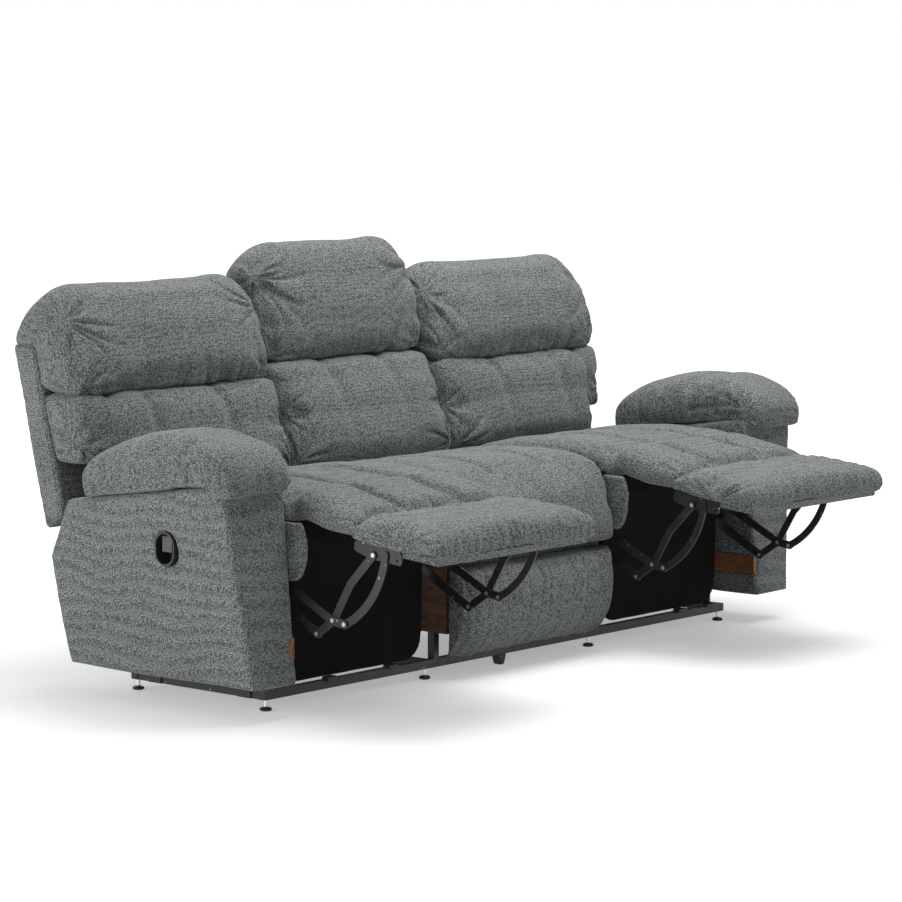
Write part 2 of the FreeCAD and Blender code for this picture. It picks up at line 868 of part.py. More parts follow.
def middle_back():
    low = (s.middle_back_rear_low, s.box_top)
    high = (s.middle_back_rear_high, s.middle_back_top)
    half = s.middle_half_width
    panel = leaning_panel("middle_panel", -half, half * 2, low, high, s.middle_frame_top, s.middle_frame_thickness, 0)
    keep("middle_back_frame", panel)
    thick = s.middle_frame_thickness.number
    low = (low[0].number, low[1].number)
    high = (high[0].number, high[1].number)
    seam = s.middle_seam.number
    top = s.middle_frame_top.number
    crown = s.middle_crown.number

    def face(z):
        return (line_at(low, high, z) - thick, z)

    half = s.middle_back_half_width.number
    corners = [(552, 452), (546, 505), (588, 594), (642, 682), (676, seam - 2), face(seam - 2), face(420), (600, 412)]
    bulges = [2, 4, 5, 4, 2, 0, 4, 4]
    keep("middle_lumbar", cushion("middle_lumbar_pad", corners, bulges, -half, half, 60, 16))
    corners = [face(seam + 1), (680, seam + 1), (672, 810), (690, 926), (712, 990), (745, crown - 2), (790, crown - 20),
               (812, crown - 70), (line_at(low, high, top), top + 1), (line_at(low, high, top) - thick, top + 1)]
    bulges = [0, 6, 6, 4, 6, 5, 5, 3, 0, 0]
    keep("middle_headrest", cushion("middle_headrest_pad", corners, bulges, -half, half, 80, 26))


middle_back()


# Recliner seat box: steel side plates, two wooden rails and straps between them.

def side_plates():
    plate_x = s.seat_centre + s.plate_offset - s.plate_thickness / 2
    body = new_body("side_plate", plate_x)
    sketch = new_sketch(body)
    hinge_y, hinge_z = depth_and_height("back_hinge")
    draw_polygon(sketch, [
        (s.side_plate_front, s.side_plate_nose),
        (s.side_plate_front, s.side_plate_top),
        (hinge_y - 50, s.side_plate_top),
        (s.side_plate_rear, hinge_z + 22),
        (s.side_plate_rear, hinge_z - 26),
        (s.post_rear + 70, s.side_plate_bottom),
        (s.stud_depth - 44, s.side_plate_bottom),
        (s.side_plate_front + 30, s.side_plate_nose - 26),
    ])
    pad(body, sketch, s.plate_thickness)
    holes = new_sketch(body)
    draw_circle(holes, depth_and_height("shaft"), s.shaft_radius + s.rivet_clearance)
    draw_circle(holes, depth_and_height("back_hinge"), s.back_hinge_radius + s.rivet_clearance)
    for post in (s.post_front, s.post_rear):
        low = (post - s.slide_back, s.guide_pin_height)
        high = (post + s.slide_forward, s.guide_pin_height)
        draw_slot(holes, low, high, s.guide_pin_radius + s.guide_clearance)
    for depth in (240, 330, 420):
        draw_circle(holes, (s.side_plate_front + depth - 44, s.side_plate_bottom + 110), 24)
    pierce(body, holes)
    y, z = depth_and_height("stud")
    boss_end = layer_start(3) + s.link_thickness + 0.5
    boss = rod("stud_boss", boss_end, plate_x - boss_end, y, z, s.stud_boss_radius)
    head = layer_start(3) - 0.1
    pin = rod("stud_pin", head, plate_x - head, y, z, s.stud_radius)
    cap = rod("stud_cap", head - s.rivet_head_thickness, s.rivet_head_thickness, y, z, s.stud_boss_radius)
    return both_sides("side_plate_pair", fuse("side_plate_with_stud", [body, boss, pin, cap]))


keep_pair("side_plates", side_plates())


def seat_rail(name, depth):
    half = s.plate_offset - s.plate_thickness / 2
    height = (s.seat_rail_bottom, s.side_plate_top - s.seat_rail_bottom)
    return block(name, (s.seat_centre - half, half * 2), (depth, s.seat_rail_width), height)


keep_pair("seat_front_rail", seat_rail("front_seat_rail", s.seat_rail_front))
keep_pair("seat_rear_rail", seat_rail("rear_seat_rail", s.seat_rail_rear))
strap_end = s.seat_rail_rear + s.seat_rail_width
keep_pair("seat_straps", straps("seat_strap", s.seat_centre, s.seat_rail_front, strap_end, s.side_plate_top))


def seat_cushion():
    front = s.cushion_front.number
    rear = s.cushion_rear.number
    bottom = s.side_plate_top.number + s.strap_thickness.number
    crown = s.cushion_crown.number
    corners = [(front, bottom), (front, crown - 16), (front + 40, crown - 6), (250, crown - 3), (rear - 8, crown - 34),
               (rear, bottom)]
    bulges = [0, 4, 3, 5, 3, 0]
    half = s.seat_half_width.number
    centre = s.seat_centre.number
    stations = []
    for x, share in crowned(centre - half, centre + half, 60):
        shaped = [corners[0]] + [(y, z - 14 * share) for y, z in corners[1:5]] + [corners[5]]
        stations.append((shaped, bulges, x))
    return soft_piece("seat_cushion_body", stations)


keep_pair("seat_cushion", seat_cushion())


def side_bolsters():
    """The padded cheeks on both sides of the seat's front edge."""
    front = s.bolster_front.number
    rear = s.bolster_rear.number
    low = s.bolster_bottom.number
    high = s.bolster_top.number
    under_seat = s.side_plate_top.number + s.strap_thickness.number
    corners = [(front + 16, high - 6), (rear, under_seat), (rear, low + 8), (rear - 16, low), (front + 26, low + 2),
               (front + 6, low + 30), (front, 0.4 * low + 0.6 * high)]
    bulges = [0, 0, 2, 2, 3, 4, 4]
    start = s.seat_centre.number + s.plate_offset.number + s.plate_thickness.number / 2
    end = s.seat_centre.number + s.seat_half_width.number
    stations = [(corners, bulges, start, 3), (corners, bulges, start + 4, 0), (corners, bulges, end - 4, 0),
                (corners, bulges, end, 3)]
    return both_sides("bolsters", soft_piece("side_bolster", stations))


keep_pair("side_bolsters", side_bolsters())


def apron():
    """The upholstered panel behind the footrest, hung from the front seat rail."""
    body = new_body("apron_panel", s.seat_centre - s.apron_half_width)
    sketch = new_sketch(body)
    depth = s.apron_depth
    thick = s.apron_thickness
    rail = s.seat_rail_front
    draw_polygon(sketch, [
        (depth, s.apron_bottom),
        (depth + thick, s.apron_bottom),
        (depth + thick, s.apron_crease + 2),
        (rail, s.seat_rail_bottom),
        (rail, s.side_plate_top - 8),
        (rail - thick, s.side_plate_top - 8),
        (rail - thick, s.seat_rail_bottom - 2),
        (depth, s.apron_crease),
    ])
    panel = pad(body, sketch, s.apron_half_width * 2)
    doc.recompute()
    corners = []
    for number, edge in enumerate(body.Shape.Edges, start=1):
        box = edge.BoundBox
        level = box.ZMax < s.apron_bottom.number + 1
        if level and box.XLength < 0.1 and box.YLength > thick.number - 1:
            corners.append("Edge%d" % number)
    rounding = body.newObject("PartDesign::Fillet", "apron_rounding")
    rounding.Base = (panel, corners)
    bind(rounding, "Radius", s.apron_corner)
    return body


keep_pair("apron", apron())


# Footrest mechanism: crank links on one cross shaft swing the lift links, which the radius links steer.

hole = s.rivet_radius + s.rivet_clearance
open_hole = s.rivet_radius + s.open_pivot_clearance


def drive_frame():
    link = chain("drive_link", 1, ("shaft", "knee", "heel"), s.drive_radius, [("shaft", s.shaft_radius - 1)])
    pieces = [link] + rivet("knee_rivet", "knee", 1, 2, s.rivet_radius) + rivet("heel_rivet", "heel", 1, 2, s.rivet_radius)
    arm = fuse("drive_arm", pieces)
    half = s.plate_offset + s.plate_thickness / 2 + s.shaft_end
    y, z = depth_and_height("shaft")
    shaft = rod("cross_shaft", s.seat_centre - half, half * 2, y, z, s.shaft_radius)
    return fuse("drive_crank", [arm, mirrored("drive_arm_opposite", arm, s.seat_centre), shaft])


keep_pair("drive_frame", drive_frame())


def lift_links():
    link = chain("lift_link", 2, ("tail", "knee", "bend", "rear_pin"), s.link_radius, [("knee", hole)])
    pieces = [link] + rivet("tail_rivet", "tail", 2, 3, s.rivet_radius)
    pieces += rivet("rear_pin_rivet", "rear_pin", 2, 3, s.rivet_radius)
    return both_sides("lift_link_pair", fuse("lift_link_riveted", pieces))


keep_pair("lift_links", lift_links())


def radius_links():
    holes = [("tail", open_hole), ("stud", s.stud_radius + s.rivet_clearance)]
    return both_sides("radius_link_pair", chain("radius_link", 3, ("tail", "stud"), s.radius_link_radius, holes))


keep_pair("radius_links", radius_links())


def curved_links():
    body = new_body("curved_link", layer_start(2))
    sketch = new_sketch(body)
    draw_bow(sketch, depth_and_height("front_pin"), depth_and_height("heel"), s.link_radius, s.curve_radius)
    pad(body, sketch, s.link_thickness)
    holes = new_sketch(body)
    draw_circle(holes, depth_and_height("heel"), hole)
    pierce(body, holes)
    pin = rivet("front_pin_rivet", "front_pin", 2, 3, s.rivet_radius, head=False)
    return both_sides("curved_link_pair", fuse("curved_link_riveted", [body] + pin))


keep_pair("curved_links", curved_links())


# Footrest: brackets on the two upper pins carry the board and its thick pad.

def footrest_brackets():
    body = new_body("footrest_bracket", layer_start(3), "footrest")
    sketch = new_sketch(body)
    top = s.board_bottom + s.board_thickness
    nose = s.bracket_drop
    draw_polygon(sketch, [
        (s.bracket_rear, s.board_bottom - nose / 2),
        (s.bracket_rear, top - nose / 2),
        (s.bracket_rear - nose / 2, top),
        (nose - s.bracket_front, top),
        (-s.bracket_front, top - nose),
        (-s.bracket_front, nose / 2 - s.bracket_drop),
        (nose / 2 - s.bracket_front, -s.bracket_drop),
        (nose, -s.bracket_drop),
        (s.bracket_rear - nose, s.board_bottom - nose),
    ])
    pad(body, sketch, s.link_thickness)
    tilt = math.radians(s.footrest_tilt.number)
    run = s.front_pin_depth - s.rear_pin_depth
    rise = s.front_pin_height - s.rear_pin_height
    along = run * math.cos(tilt) + rise * math.sin(tilt)
    across = rise * math.cos(tilt) - run * math.sin(tilt)
    holes = new_sketch(body)
    draw_circle(holes, (0, 0), hole)
    draw_circle(holes, (along, across), open_hole)
    draw_circle(holes, (-s.bracket_slot_place, 0), hole)
    pierce(body, holes)
    return both_sides("bracket_pair", body)


keep_pair("footrest_brackets", footrest_brackets())


def footrest_board():
    half = s.plate_offset - s.layer_pitch * 3 - s.link_thickness / 2
    body = new_body("board", s.seat_centre - half, "footrest")
    sketch = new_sketch(body)
    top = s.board_bottom + s.board_thickness
    draw_polygon(sketch, [(s.board_rear, s.board_bottom), (s.board_rear, top), (-s.board_front, top),
                          (-s.board_front, s.board_bottom)])
    pad(body, sketch, half * 2)
    return body


keep_pair("footrest_board", footrest_board())


def footrest_pad():
    rear = s.footrest_rear.number
    front = s.footrest_front.number
    top = s.footrest_top.number
    base = s.board_bottom.number + s.board_thickness.number
    corners = [(rear, base), (rear, top - 22), (rear - 14, top - 4), (-60, top), (-front + 34, top - 4),
               (-front, top - 30), (-front + 6, base - 10), (-front + 14, base - 12), (-front + 15, base)]
    bulges = [2, 3, 3, 3, 6, 5, 2, 0, 0]
    half = s.seat_half_width.number
    centre = s.seat_centre.number
    stations = []
    for x, share in crowned(centre - half, centre + half, 46):
        drawn = 20 * share
        shaped = [corners[0]] + [(y, z - drawn) for y, z in corners[1:4]]
        shaped += [(y + 0.7 * drawn, z - 0.6 * drawn) for y, z in corners[4:6]] + corners[6:]
        stations.append((shaped, bulges, x))
    piece = soft_piece("footrest_cushion", stations)
    turn = Rotation(Vector(1, 0, 0), s.footrest_tilt.number)
    spot = Vector(0, s.rear_pin_depth.number - s.origin_setback.number, s.rear_pin_height.number)
    piece.Placement = Placement(spot, turn)
    return piece


keep_pair("footrest_pad", footrest_pad())


def bridge_pad():
    """The chaise pad between seat and footrest, with a round rear edge about its own hinge line."""
    y, z = s.bridge_pivot_depth.number, s.bridge_pivot_height.number
    end_y, end_z = s.bridge_front_depth.number, s.bridge_front_height.number
    r = s.bridge_half_thickness.number
    heading = math.atan2(end_z - z, end_y - y)
    turns = ((y, z, -1.5), (y, z, 3.0), (y, z, 1.5), (end_y, end_z, 1.5), (end_y, end_z, 0.0), (end_y, end_z, -1.5))
    corners = []
    for centre_y, centre_z, share in turns:
        angle = heading + share * math.pi / 3
        corners.append((centre_y + r * math.cos(angle), centre_z + r * math.sin(angle)))
    arc = r * (1 - math.cos(math.pi / 4))
    bulges = [arc, arc, 0, arc, arc, 3]
    half = s.bridge_half_width.number
    centre = s.seat_centre.number
    return cushion("bridge_cushion", corners, bulges, centre - half, centre + half, 30, 6)


keep_pair("bridge_pad", bridge_pad())


# Recliner backs: a leaning frame on two hinge brackets, a lumbar pad and a headrest pillow.

def back():
    low = (s.back_rear_low, s.back_bottom)
    high = (s.back_rear_high, s.back_top)
    thick = s.back_frame_thickness
    panel = leaning_panel("back_panel", s.back_inner, s.back_outer - s.back_inner, low, high, s.back_frame_top,
                          thick, thick / 2)
    slot_x = (layer_start(1) - s.bracket_slack, s.link_thickness + s.bracket_slack * 2)
    slot_y = (low[0] - thick * 2, thick * 4)
    slot_z = (low[1] - 1, s.back_seam - 30 - low[1])
    slot = block("bracket_slot", slot_x, slot_y, slot_z)
    slots = fuse("bracket_slots", [slot, mirrored("bracket_slot_opposite", slot, s.seat_centre)])
    return cut("back_panel_slotted", panel, slots), low, high


def back_brackets(low, high):
    body = new_body("back_bracket", layer_start(1))
    elbow = (s.back_rear_low - s.back_frame_thickness * 0.4, s.back_hinge_height + 70)
    tip_height = s.back_seam - 50
    tip = (line_at(low, high, tip_height) - s.back_frame_thickness * 0.5, tip_height)
    for start, end in ((depth_and_height("back_hinge"), elbow), (elbow, tip)):
        sketch = new_sketch(body)
        draw_slot(sketch, start, end, s.stud_radius * 3)
        pad(body, sketch, s.link_thickness)
    y, z = depth_and_height("back_hinge")
    x = layer_start(1)
    reach = s.seat_centre + s.plate_offset + s.plate_thickness / 2 + s.shaft_end / 2 - x
    bolt = rod("back_hinge_bolt", x, reach, y, z, s.back_hinge_radius)
    return both_sides("back_bracket_pair", fuse("back_bracket_bolted", [body, bolt]))


def back_cushions(low, high):
    thick = s.back_frame_thickness.number
    low = (low[0].number, low[1].number)
    high = (high[0].number, high[1].number)
    seam = s.back_seam.number
    top = s.back_frame_top.number
    crown = s.back_crown.number

    def face(z):
        return (line_at(low, high, z) - thick, z)

    inner = s.back_inner.number
    outer = s.back_outer.number
    arm = s.arm_pad_inner.number
    corners = [(552, 456), (548, 505), (591, 593), (638, seam - 1), face(seam - 1), face(500), (606, 437)]
    bulges = [2, 3, 4, 2, 0, 3, 3]
    wing = [(608, 532), (606, 545), (618, 600), (642, seam - 1), face(seam - 1), face(532), (640, 528)]
    drawn_in = ((inner, 14), (inner + 12, 5), (inner + 40, 0), (arm - 50, 0), (arm - 12, 6), (arm - 3, 12))
    stations = [(corners, bulges, x, inset) for x, inset in drawn_in]
    stations += [(wing, bulges, x, inset) for x, inset in ((arm + 6, 2), (outer - 20, 2), (outer, 9))]
    lumbar = soft_piece("lumbar_pad", stations)
    rear = line_at(low, high, top)
    corners = [face(seam + 1), (640, seam + 1), (648, 810), (676, 890), (706, crown - 14), (742, crown - 2),
               (812, crown - 66), (rear + 5, top + 33), (rear, top + 1), (rear - thick, top + 1)]
    bulges = [0, 6, 6, 5, 5, 6, 4, 2, 0, 0]
    headrest = cushion("headrest_pad", corners, bulges, inner, outer, 70, 22)
    return lumbar, headrest


def make_back():
    panel, low, high = back()
    keep_pair("back_frame", panel)
    keep_pair("back_brackets", back_brackets(low, high))
    lumbar, headrest = back_cushions(low, high)
    keep_pair("back_lumbar", lumbar)
    keep_pair("back_headrest", headrest)


make_back()
doc.recompute()

# Every object must be sound before anything is written.

for item in doc.Objects:
    if "Invalid" in item.State or "Error" in item.State:
        raise RuntimeError("%s failed: %s" % (item.Name, item.State))
for node in nodes:
    if node.Shape.isNull() or not node.Shape.isValid():
        raise RuntimeError("%s has no sound shape" % node.Label)
for node in nodes:
    node.Shape.exportStep(os.path.join("parts", node.Label + ".step"))
print("%d sub-parts written" % len(nodes))
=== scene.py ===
import math

import bpy
import numpy as np
from mathutils import Matrix, Vector, noise


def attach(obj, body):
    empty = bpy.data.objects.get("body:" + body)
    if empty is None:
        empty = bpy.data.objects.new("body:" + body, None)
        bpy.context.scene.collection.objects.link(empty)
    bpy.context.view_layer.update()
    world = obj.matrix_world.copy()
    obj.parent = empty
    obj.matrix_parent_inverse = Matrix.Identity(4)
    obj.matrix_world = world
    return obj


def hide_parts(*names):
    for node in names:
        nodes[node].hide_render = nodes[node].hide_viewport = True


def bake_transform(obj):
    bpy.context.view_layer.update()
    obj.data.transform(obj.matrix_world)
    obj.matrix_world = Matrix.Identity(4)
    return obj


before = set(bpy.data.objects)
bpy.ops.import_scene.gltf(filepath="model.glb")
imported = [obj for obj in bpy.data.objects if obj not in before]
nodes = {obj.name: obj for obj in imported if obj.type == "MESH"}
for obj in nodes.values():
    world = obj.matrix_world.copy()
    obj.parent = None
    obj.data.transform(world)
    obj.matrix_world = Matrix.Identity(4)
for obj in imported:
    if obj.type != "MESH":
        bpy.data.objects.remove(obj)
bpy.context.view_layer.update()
SIDES = (("right", 1), ("left", -1))
SEAT_CENTRE = 0.58
SEAT_CHANNELS = (-0.098, 0.098)
MIDDLE_BACK_HALF = 0.296
RECLINER_BACK_CENTRE = 0.6325
RECLINER_BACK_HALF = 0.333

# The cover cloth: a two-tone tweed of pale blue-grey and charcoal yarn, woven in small uneven
# knots. It wraps every cushion, the arms and the backs.


def new_group(name, inputs, outputs):
    """An empty node group; each socket is a name and a kind, and an input has a value too."""
    group = bpy.data.node_groups.new(name, "ShaderNodeTree")
    for label, kind, value in inputs:
        socket = group.interface.new_socket(name=label, in_out="INPUT", socket_type=kind)
        socket.default_value = value
    for label, kind in outputs:
        group.interface.new_socket(name=label, in_out="OUTPUT", socket_type=kind)
    tree = group.nodes
    return group, tree, group.links, tree.new("NodeGroupInput"), tree.new("NodeGroupOutput")


def math_node(tree, links, operation, first, second):
    """One sum of two values or sockets."""
    node = tree.new("ShaderNodeMath")
    node.operation = operation
    for socket, value in zip(node.inputs, (first, second)):
        if isinstance(value, (int, float)):
            socket.default_value = value
        else:
            links.new(value, socket)
    return node.outputs[0]


def noise_node(tree, links, place, scale, detail=2.0):
    node = tree.new("ShaderNodeTexNoise")
    node.inputs["Scale"].default_value = scale
    node.inputs["Detail"].default_value = detail
    links.new(place, node.inputs["Vector"])
    return node.outputs["Fac"]


def step_node(tree, links, value, low, high, to_low=0.0, to_high=1.0):
    """A smooth step from one value to another."""
    node = tree.new("ShaderNodeMapRange")
    node.interpolation_type = "SMOOTHSTEP"
    links.new(value, node.inputs["Value"])
    for label, number in zip(("From Min", "From Max", "To Min", "To Max"), (low, high, to_low, to_high)):
        node.inputs[label].default_value = number
    return node.outputs["Result"]


def mix_node(tree, links, share, first, second):
    """A mix of two colours."""
    node = tree.new("ShaderNodeMix")
    node.data_type = "RGBA"
    links.new(share, node.inputs["Factor"])
    for socket, value in ((node.inputs[6], first), (node.inputs[7], second)):
        if isinstance(value, tuple):
            socket.default_value = value
        else:
            links.new(value, socket)
    return node.outputs[2]


def tweed_group():
    group, tree, links, given, out = new_group(
        "tweed_weave",
        [("Dark", "NodeSocketColor", (0.080, 0.086, 0.088, 1)),
         ("Light", "NodeSocketColor", (0.43, 0.45, 0.454, 1)),
         ("Knots per metre", "NodeSocketFloat", 255.0)],
        [("Color", "NodeSocketColor"), ("Roughness", "NodeSocketFloat"), ("Height", "NodeSocketFloat")])
    place = tree.new("ShaderNodeTexCoord").outputs["Object"]
    knots = tree.new("ShaderNodeTexVoronoi")
    knots.inputs["Randomness"].default_value = 0.7
    links.new(place, knots.inputs["Vector"])
    links.new(given.outputs["Knots per metre"], knots.inputs["Scale"])
    parts = tree.new("ShaderNodeSeparateColor")
    links.new(knots.outputs["Color"], parts.inputs[0])
    knot = step_node(tree, links, knots.outputs["Distance"], 0.12, 0.72, 1.0, 0.0)
    dye = step_node(tree, links, parts.outputs[0], 0.0, 1.0, 0.70, 1.0)
    yarn = math_node(tree, links, "MULTIPLY", knot, dye)
    thread = step_node(tree, links, noise_node(tree, links, place, 800.0), 0.3, 0.7, 0.75, 1.0)
    share = math_node(tree, links, "MULTIPLY", yarn, thread)
    tone = step_node(tree, links, noise_node(tree, links, place, 5.0, 3.0), 0.3, 0.7, 0.90, 1.0)
    share = math_node(tree, links, "MULTIPLY", share, tone)
    links.new(mix_node(tree, links, share, given.outputs["Dark"], given.outputs["Light"]), out.inputs["Color"])
    links.new(step_node(tree, links, share, 0.0, 1.0, 0.98, 0.82), out.inputs["Roughness"])
    links.new(share, out.inputs["Height"])
    return group


def new_material(name, group, values, bump, **settings):
    """A material whose colour, roughness and relief come from one group; bump is strength and height."""
    material = bpy.data.materials.new(name)
    material.use_nodes = True
    tree, links = material.node_tree.nodes, material.node_tree.links
    shader = tree["Principled BSDF"]
    pattern = tree.new("ShaderNodeGroup")
    pattern.node_tree = group
    for label, value in values.items():
        pattern.inputs[label].default_value = value
    relief = tree.new("ShaderNodeBump")
    relief.inputs["Strength"].default_value = bump[0]
    relief.inputs["Distance"].default_value = bump[1]
    links.new(pattern.outputs["Height"], relief.inputs["Height"])
    links.new(relief.outputs[0], shader.inputs["Normal"])
    links.new(pattern.outputs["Color"], shader.inputs["Base Color"])
    links.new(pattern.outputs["Roughness"], shader.inputs["Roughness"])
    if "Metallic" in pattern.outputs:
        links.new(pattern.outputs["Metallic"], shader.inputs["Metallic"])
    for label, value in settings.items():
        shader.inputs[label.replace("_", " ")].default_value = value
    return material


tweed = new_material("charcoal_tweed", tweed_group(), {}, (0.5, 0.0012),
                     Sheen_Weight=0.18, Sheen_Roughness=0.45, Specular_IOR_Level=0.2)


# Arms: a wooden box under wadding and tweed, with leaning front and outer faces. The cloth is pulled
# tight over the edges and turned in round the handle cup.


JOIN_DISTANCE = 0.00005


def choose(piece):
    """Makes one piece the selected and active one."""
    bpy.ops.object.select_all(action="DESELECT")
    piece.select_set(True)
    bpy.context.view_layer.objects.active = piece


def copied_block(name, sources):
    """A new closed mesh with the shape of these foam or wood blocks."""
    bpy.ops.object.select_all(action="DESELECT")
    parts = []
    for source in sources:
        part = bpy.data.objects.new(name, nodes[source].data.copy())
        bpy.context.scene.collection.objects.link(part)
        part.data.materials.clear()
        part.select_set(True)
        parts.append(part)
    block = parts[0]
    bpy.context.view_layer.objects.active = block
    if len(parts) > 1:
        bpy.ops.object.join()
    bpy.ops.object.mode_set(mode="EDIT")
    bpy.ops.mesh.select_all(action="SELECT")
    bpy.ops.mesh.remove_doubles(threshold=JOIN_DISTANCE)
    bpy.ops.object.mode_set(mode="OBJECT")
    return block


def apply_modifier(piece, kind, **values):
    choose(piece)
    modifier = piece.modifiers.new(kind.lower(), kind)
    for label, value in values.items():
        setattr(modifier, label, value)
    bpy.ops.object.modifier_apply(modifier=modifier.name)


def read(piece):
    """Where each point of a mesh is, and which way the cloth faces there."""
    found = []
    for label in ("co", "normal"):
        numbers = np.empty(len(piece.data.vertices) * 3, np.float32)
        piece.data.vertices.foreach_get(label, numbers)
        found.append(numbers.reshape(-1, 3).astype(float))
    return found


def write(piece, places):
    piece.data.vertices.foreach_set("co", places.astype(np.float32).ravel())
    piece.data.update()


def raise_cloth(piece, heights):
    """Moves the cloth out along its own normals, or in where the height is below zero."""
    places, facing = read(piece)
    write(piece, places + facing * heights[:, None])


def waves(places, size, seed):
    """A slow random rise and fall of the cloth, between about -0.5 and 0.5."""
    shift = Vector((seed, seed * 1.7, 0))
    return np.array([noise.noise(Vector(place / size) + shift) for place in places])


def dress(piece, material):
    piece.data.materials.clear()
    piece.data.materials.append(material)
    for face in piece.data.polygons:
        face.use_smooth = True


def upholster(piece, body, replaced):
    dress(piece, tweed)
    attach(piece, body)
    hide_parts(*replaced)


for side, sign in SIDES:
    arm = copied_block(side + "_arm_cover", [side + "_arm_body"])
    apply_modifier(arm, "REMESH", mode="VOXEL", voxel_size=0.007)
    apply_modifier(arm, "SMOOTH", factor=0.5, iterations=3)
    places, _ = read(arm)
    raise_cloth(arm, 0.003 * waves(places, 0.16, 3.0 + sign))
    upholster(arm, "base", [side + "_arm_body"])


# Arm pillows: fibre-filled pads sewn to the arm tops. The tweed is gathered into a plain band along
# the lower edge, with two deep pleats, and drawn together at the nose.
FILLING_PRESSURE = 4.0
FILLING_FRAMES = 14
LEAST_LENGTH = 1e-9


def stuff(piece, resting, travel):
    """Fills the cover like a cushion; the cloth that rests on the frame stays where it is."""
    start, _ = read(piece)
    held = piece.vertex_groups.new(name="resting")
    held.add([int(number) for number in np.flatnonzero(resting)], 1.0, "REPLACE")
    cloth = piece.modifiers.new("stuffing", "CLOTH")
    cloth.settings.quality = 4
    cloth.settings.use_pressure = True
    cloth.settings.uniform_pressure_force = FILLING_PRESSURE
    cloth.settings.vertex_group_mass = "resting"
    cloth.settings.shrink_min = -0.015
    cloth.settings.effector_weights.gravity = 0
    cloth.collision_settings.use_collision = False
    scene = bpy.context.scene
    for number in range(FILLING_FRAMES):
        scene.frame_set(number + 1)
    choose(piece)
    bpy.ops.object.modifier_apply(modifier=cloth.name)
    scene.frame_set(1)
    end, _ = read(piece)
    moved = end - start
    length = np.maximum(np.linalg.norm(moved, axis=1), LEAST_LENGTH)
    write(piece, start + moved * (travel * np.tanh(length / travel) / length)[:, None])


def rolled_form(name, sources, resting, voxel=0.008, take_in=0.0, relax=4, travel=0.014, shape=None):
    """A soft pad: the block's shape, taken in a little, its edges relaxed and shaped, then filled."""
    piece = copied_block(name, sources)
    apply_modifier(piece, "REMESH", mode="VOXEL", voxel_size=voxel)
    places, facing = read(piece)
    still = resting(places, facing)
    raise_cloth(piece, np.where(still, 0.0, -take_in))
    apply_modifier(piece, "SMOOTH", factor=0.5, iterations=relax)
    if shape:
        write(piece, shape(*read(piece)))
    places, facing = read(piece)
    stuff(piece, resting(places, facing), travel)
    apply_modifier(piece, "SMOOTH", factor=0.5, iterations=2)
    apply_modifier(piece, "SUBSURF", levels=1, render_levels=1)
    return piece


def mirror_cover(piece, name):
    """The same pad for the other end of the sofa."""
    twin = bpy.data.objects.new(name, piece.data.copy())
    bpy.context.scene.collection.objects.link(twin)
    places, _ = read(twin)
    write(twin, places * np.array([-1.0, 1.0, 1.0]))
    twin.data.flip_normals()
    twin.data.update()
    return twin


def crease(places, line, axes, width, depth, fade=0.0):
    """How far a sewn or pulled line presses in; it is drawn on two axes and can fade to its end."""
    flat = places[:, axes]
    near = np.full(len(places), np.inf)
    along = np.zeros(len(places))
    for number, (start, end) in enumerate(zip(line, line[1:])):
        start = np.array(start, float)
        run = np.array(end, float) - start
        share = np.clip(((flat - start) @ run) / (run @ run), 0.0, 1.0)
        gap = np.linalg.norm(flat - start - share[:, None] * run, axis=1)
        closer = gap < near
        near = np.where(closer, gap, near)
        along = np.where(closer, (number + share) / (len(line) - 1), along)
    return -depth * np.exp(-(near / width) ** 2) * (1.0 - fade * along)


def gathers(across, along, pitch, run, seed):
    """Gathered cloth: narrow valleys a given pitch apart, each running on for some way."""
    field = np.array([noise.noise(Vector((wide / pitch, far / run, seed)))
                      for wide, far in zip(across, along)])
    valley = np.clip(1.0 - np.abs(field) * 2.6, 0.0, 1.0)
    return 0.4 * field - valley ** 1.4


def fan(places, centre, axes, reach, count, depth, seed):
    """Folds that spread from one point where the cloth is drawn together."""
    flat = places[:, axes] - np.array(centre)
    radius = np.linalg.norm(flat, axis=1)
    turn = np.arctan2(flat[:, 1], flat[:, 0]) * count / (2 * math.pi)
    field = gathers(turn, radius, 1.0, reach * 1.4, seed)
    share = np.clip(radius / (0.3 * reach), 0.0, 1.0)
    return depth * field * share * np.exp(-(radius / reach) ** 2)


ARM_FRONT = -0.1731
ARM_FRONT_HEIGHT = 0.537
ARM_SLOPE = 0.137
FOAM_FRONT = -0.269
PILLOW_FRONT = -0.212
PILLOW_SHARE = 0.80


def arm_top(y):
    """The height of the arm's sloping top."""
    return ARM_FRONT_HEIGHT - (y - ARM_FRONT) * ARM_SLOPE


def rests_on_arm(places, facing):
    return facing[:, 2] < -0.75


def pillow_length(places, facing):
    """The filled pillow is drawn up shorter than its foam, and ends before the arm's rear."""
    y = PILLOW_FRONT + (places[:, 1] - FOAM_FRONT) * PILLOW_SHARE
    return np.column_stack((places[:, 0], y, places[:, 2] - arm_top(places[:, 1]) + arm_top(y)))


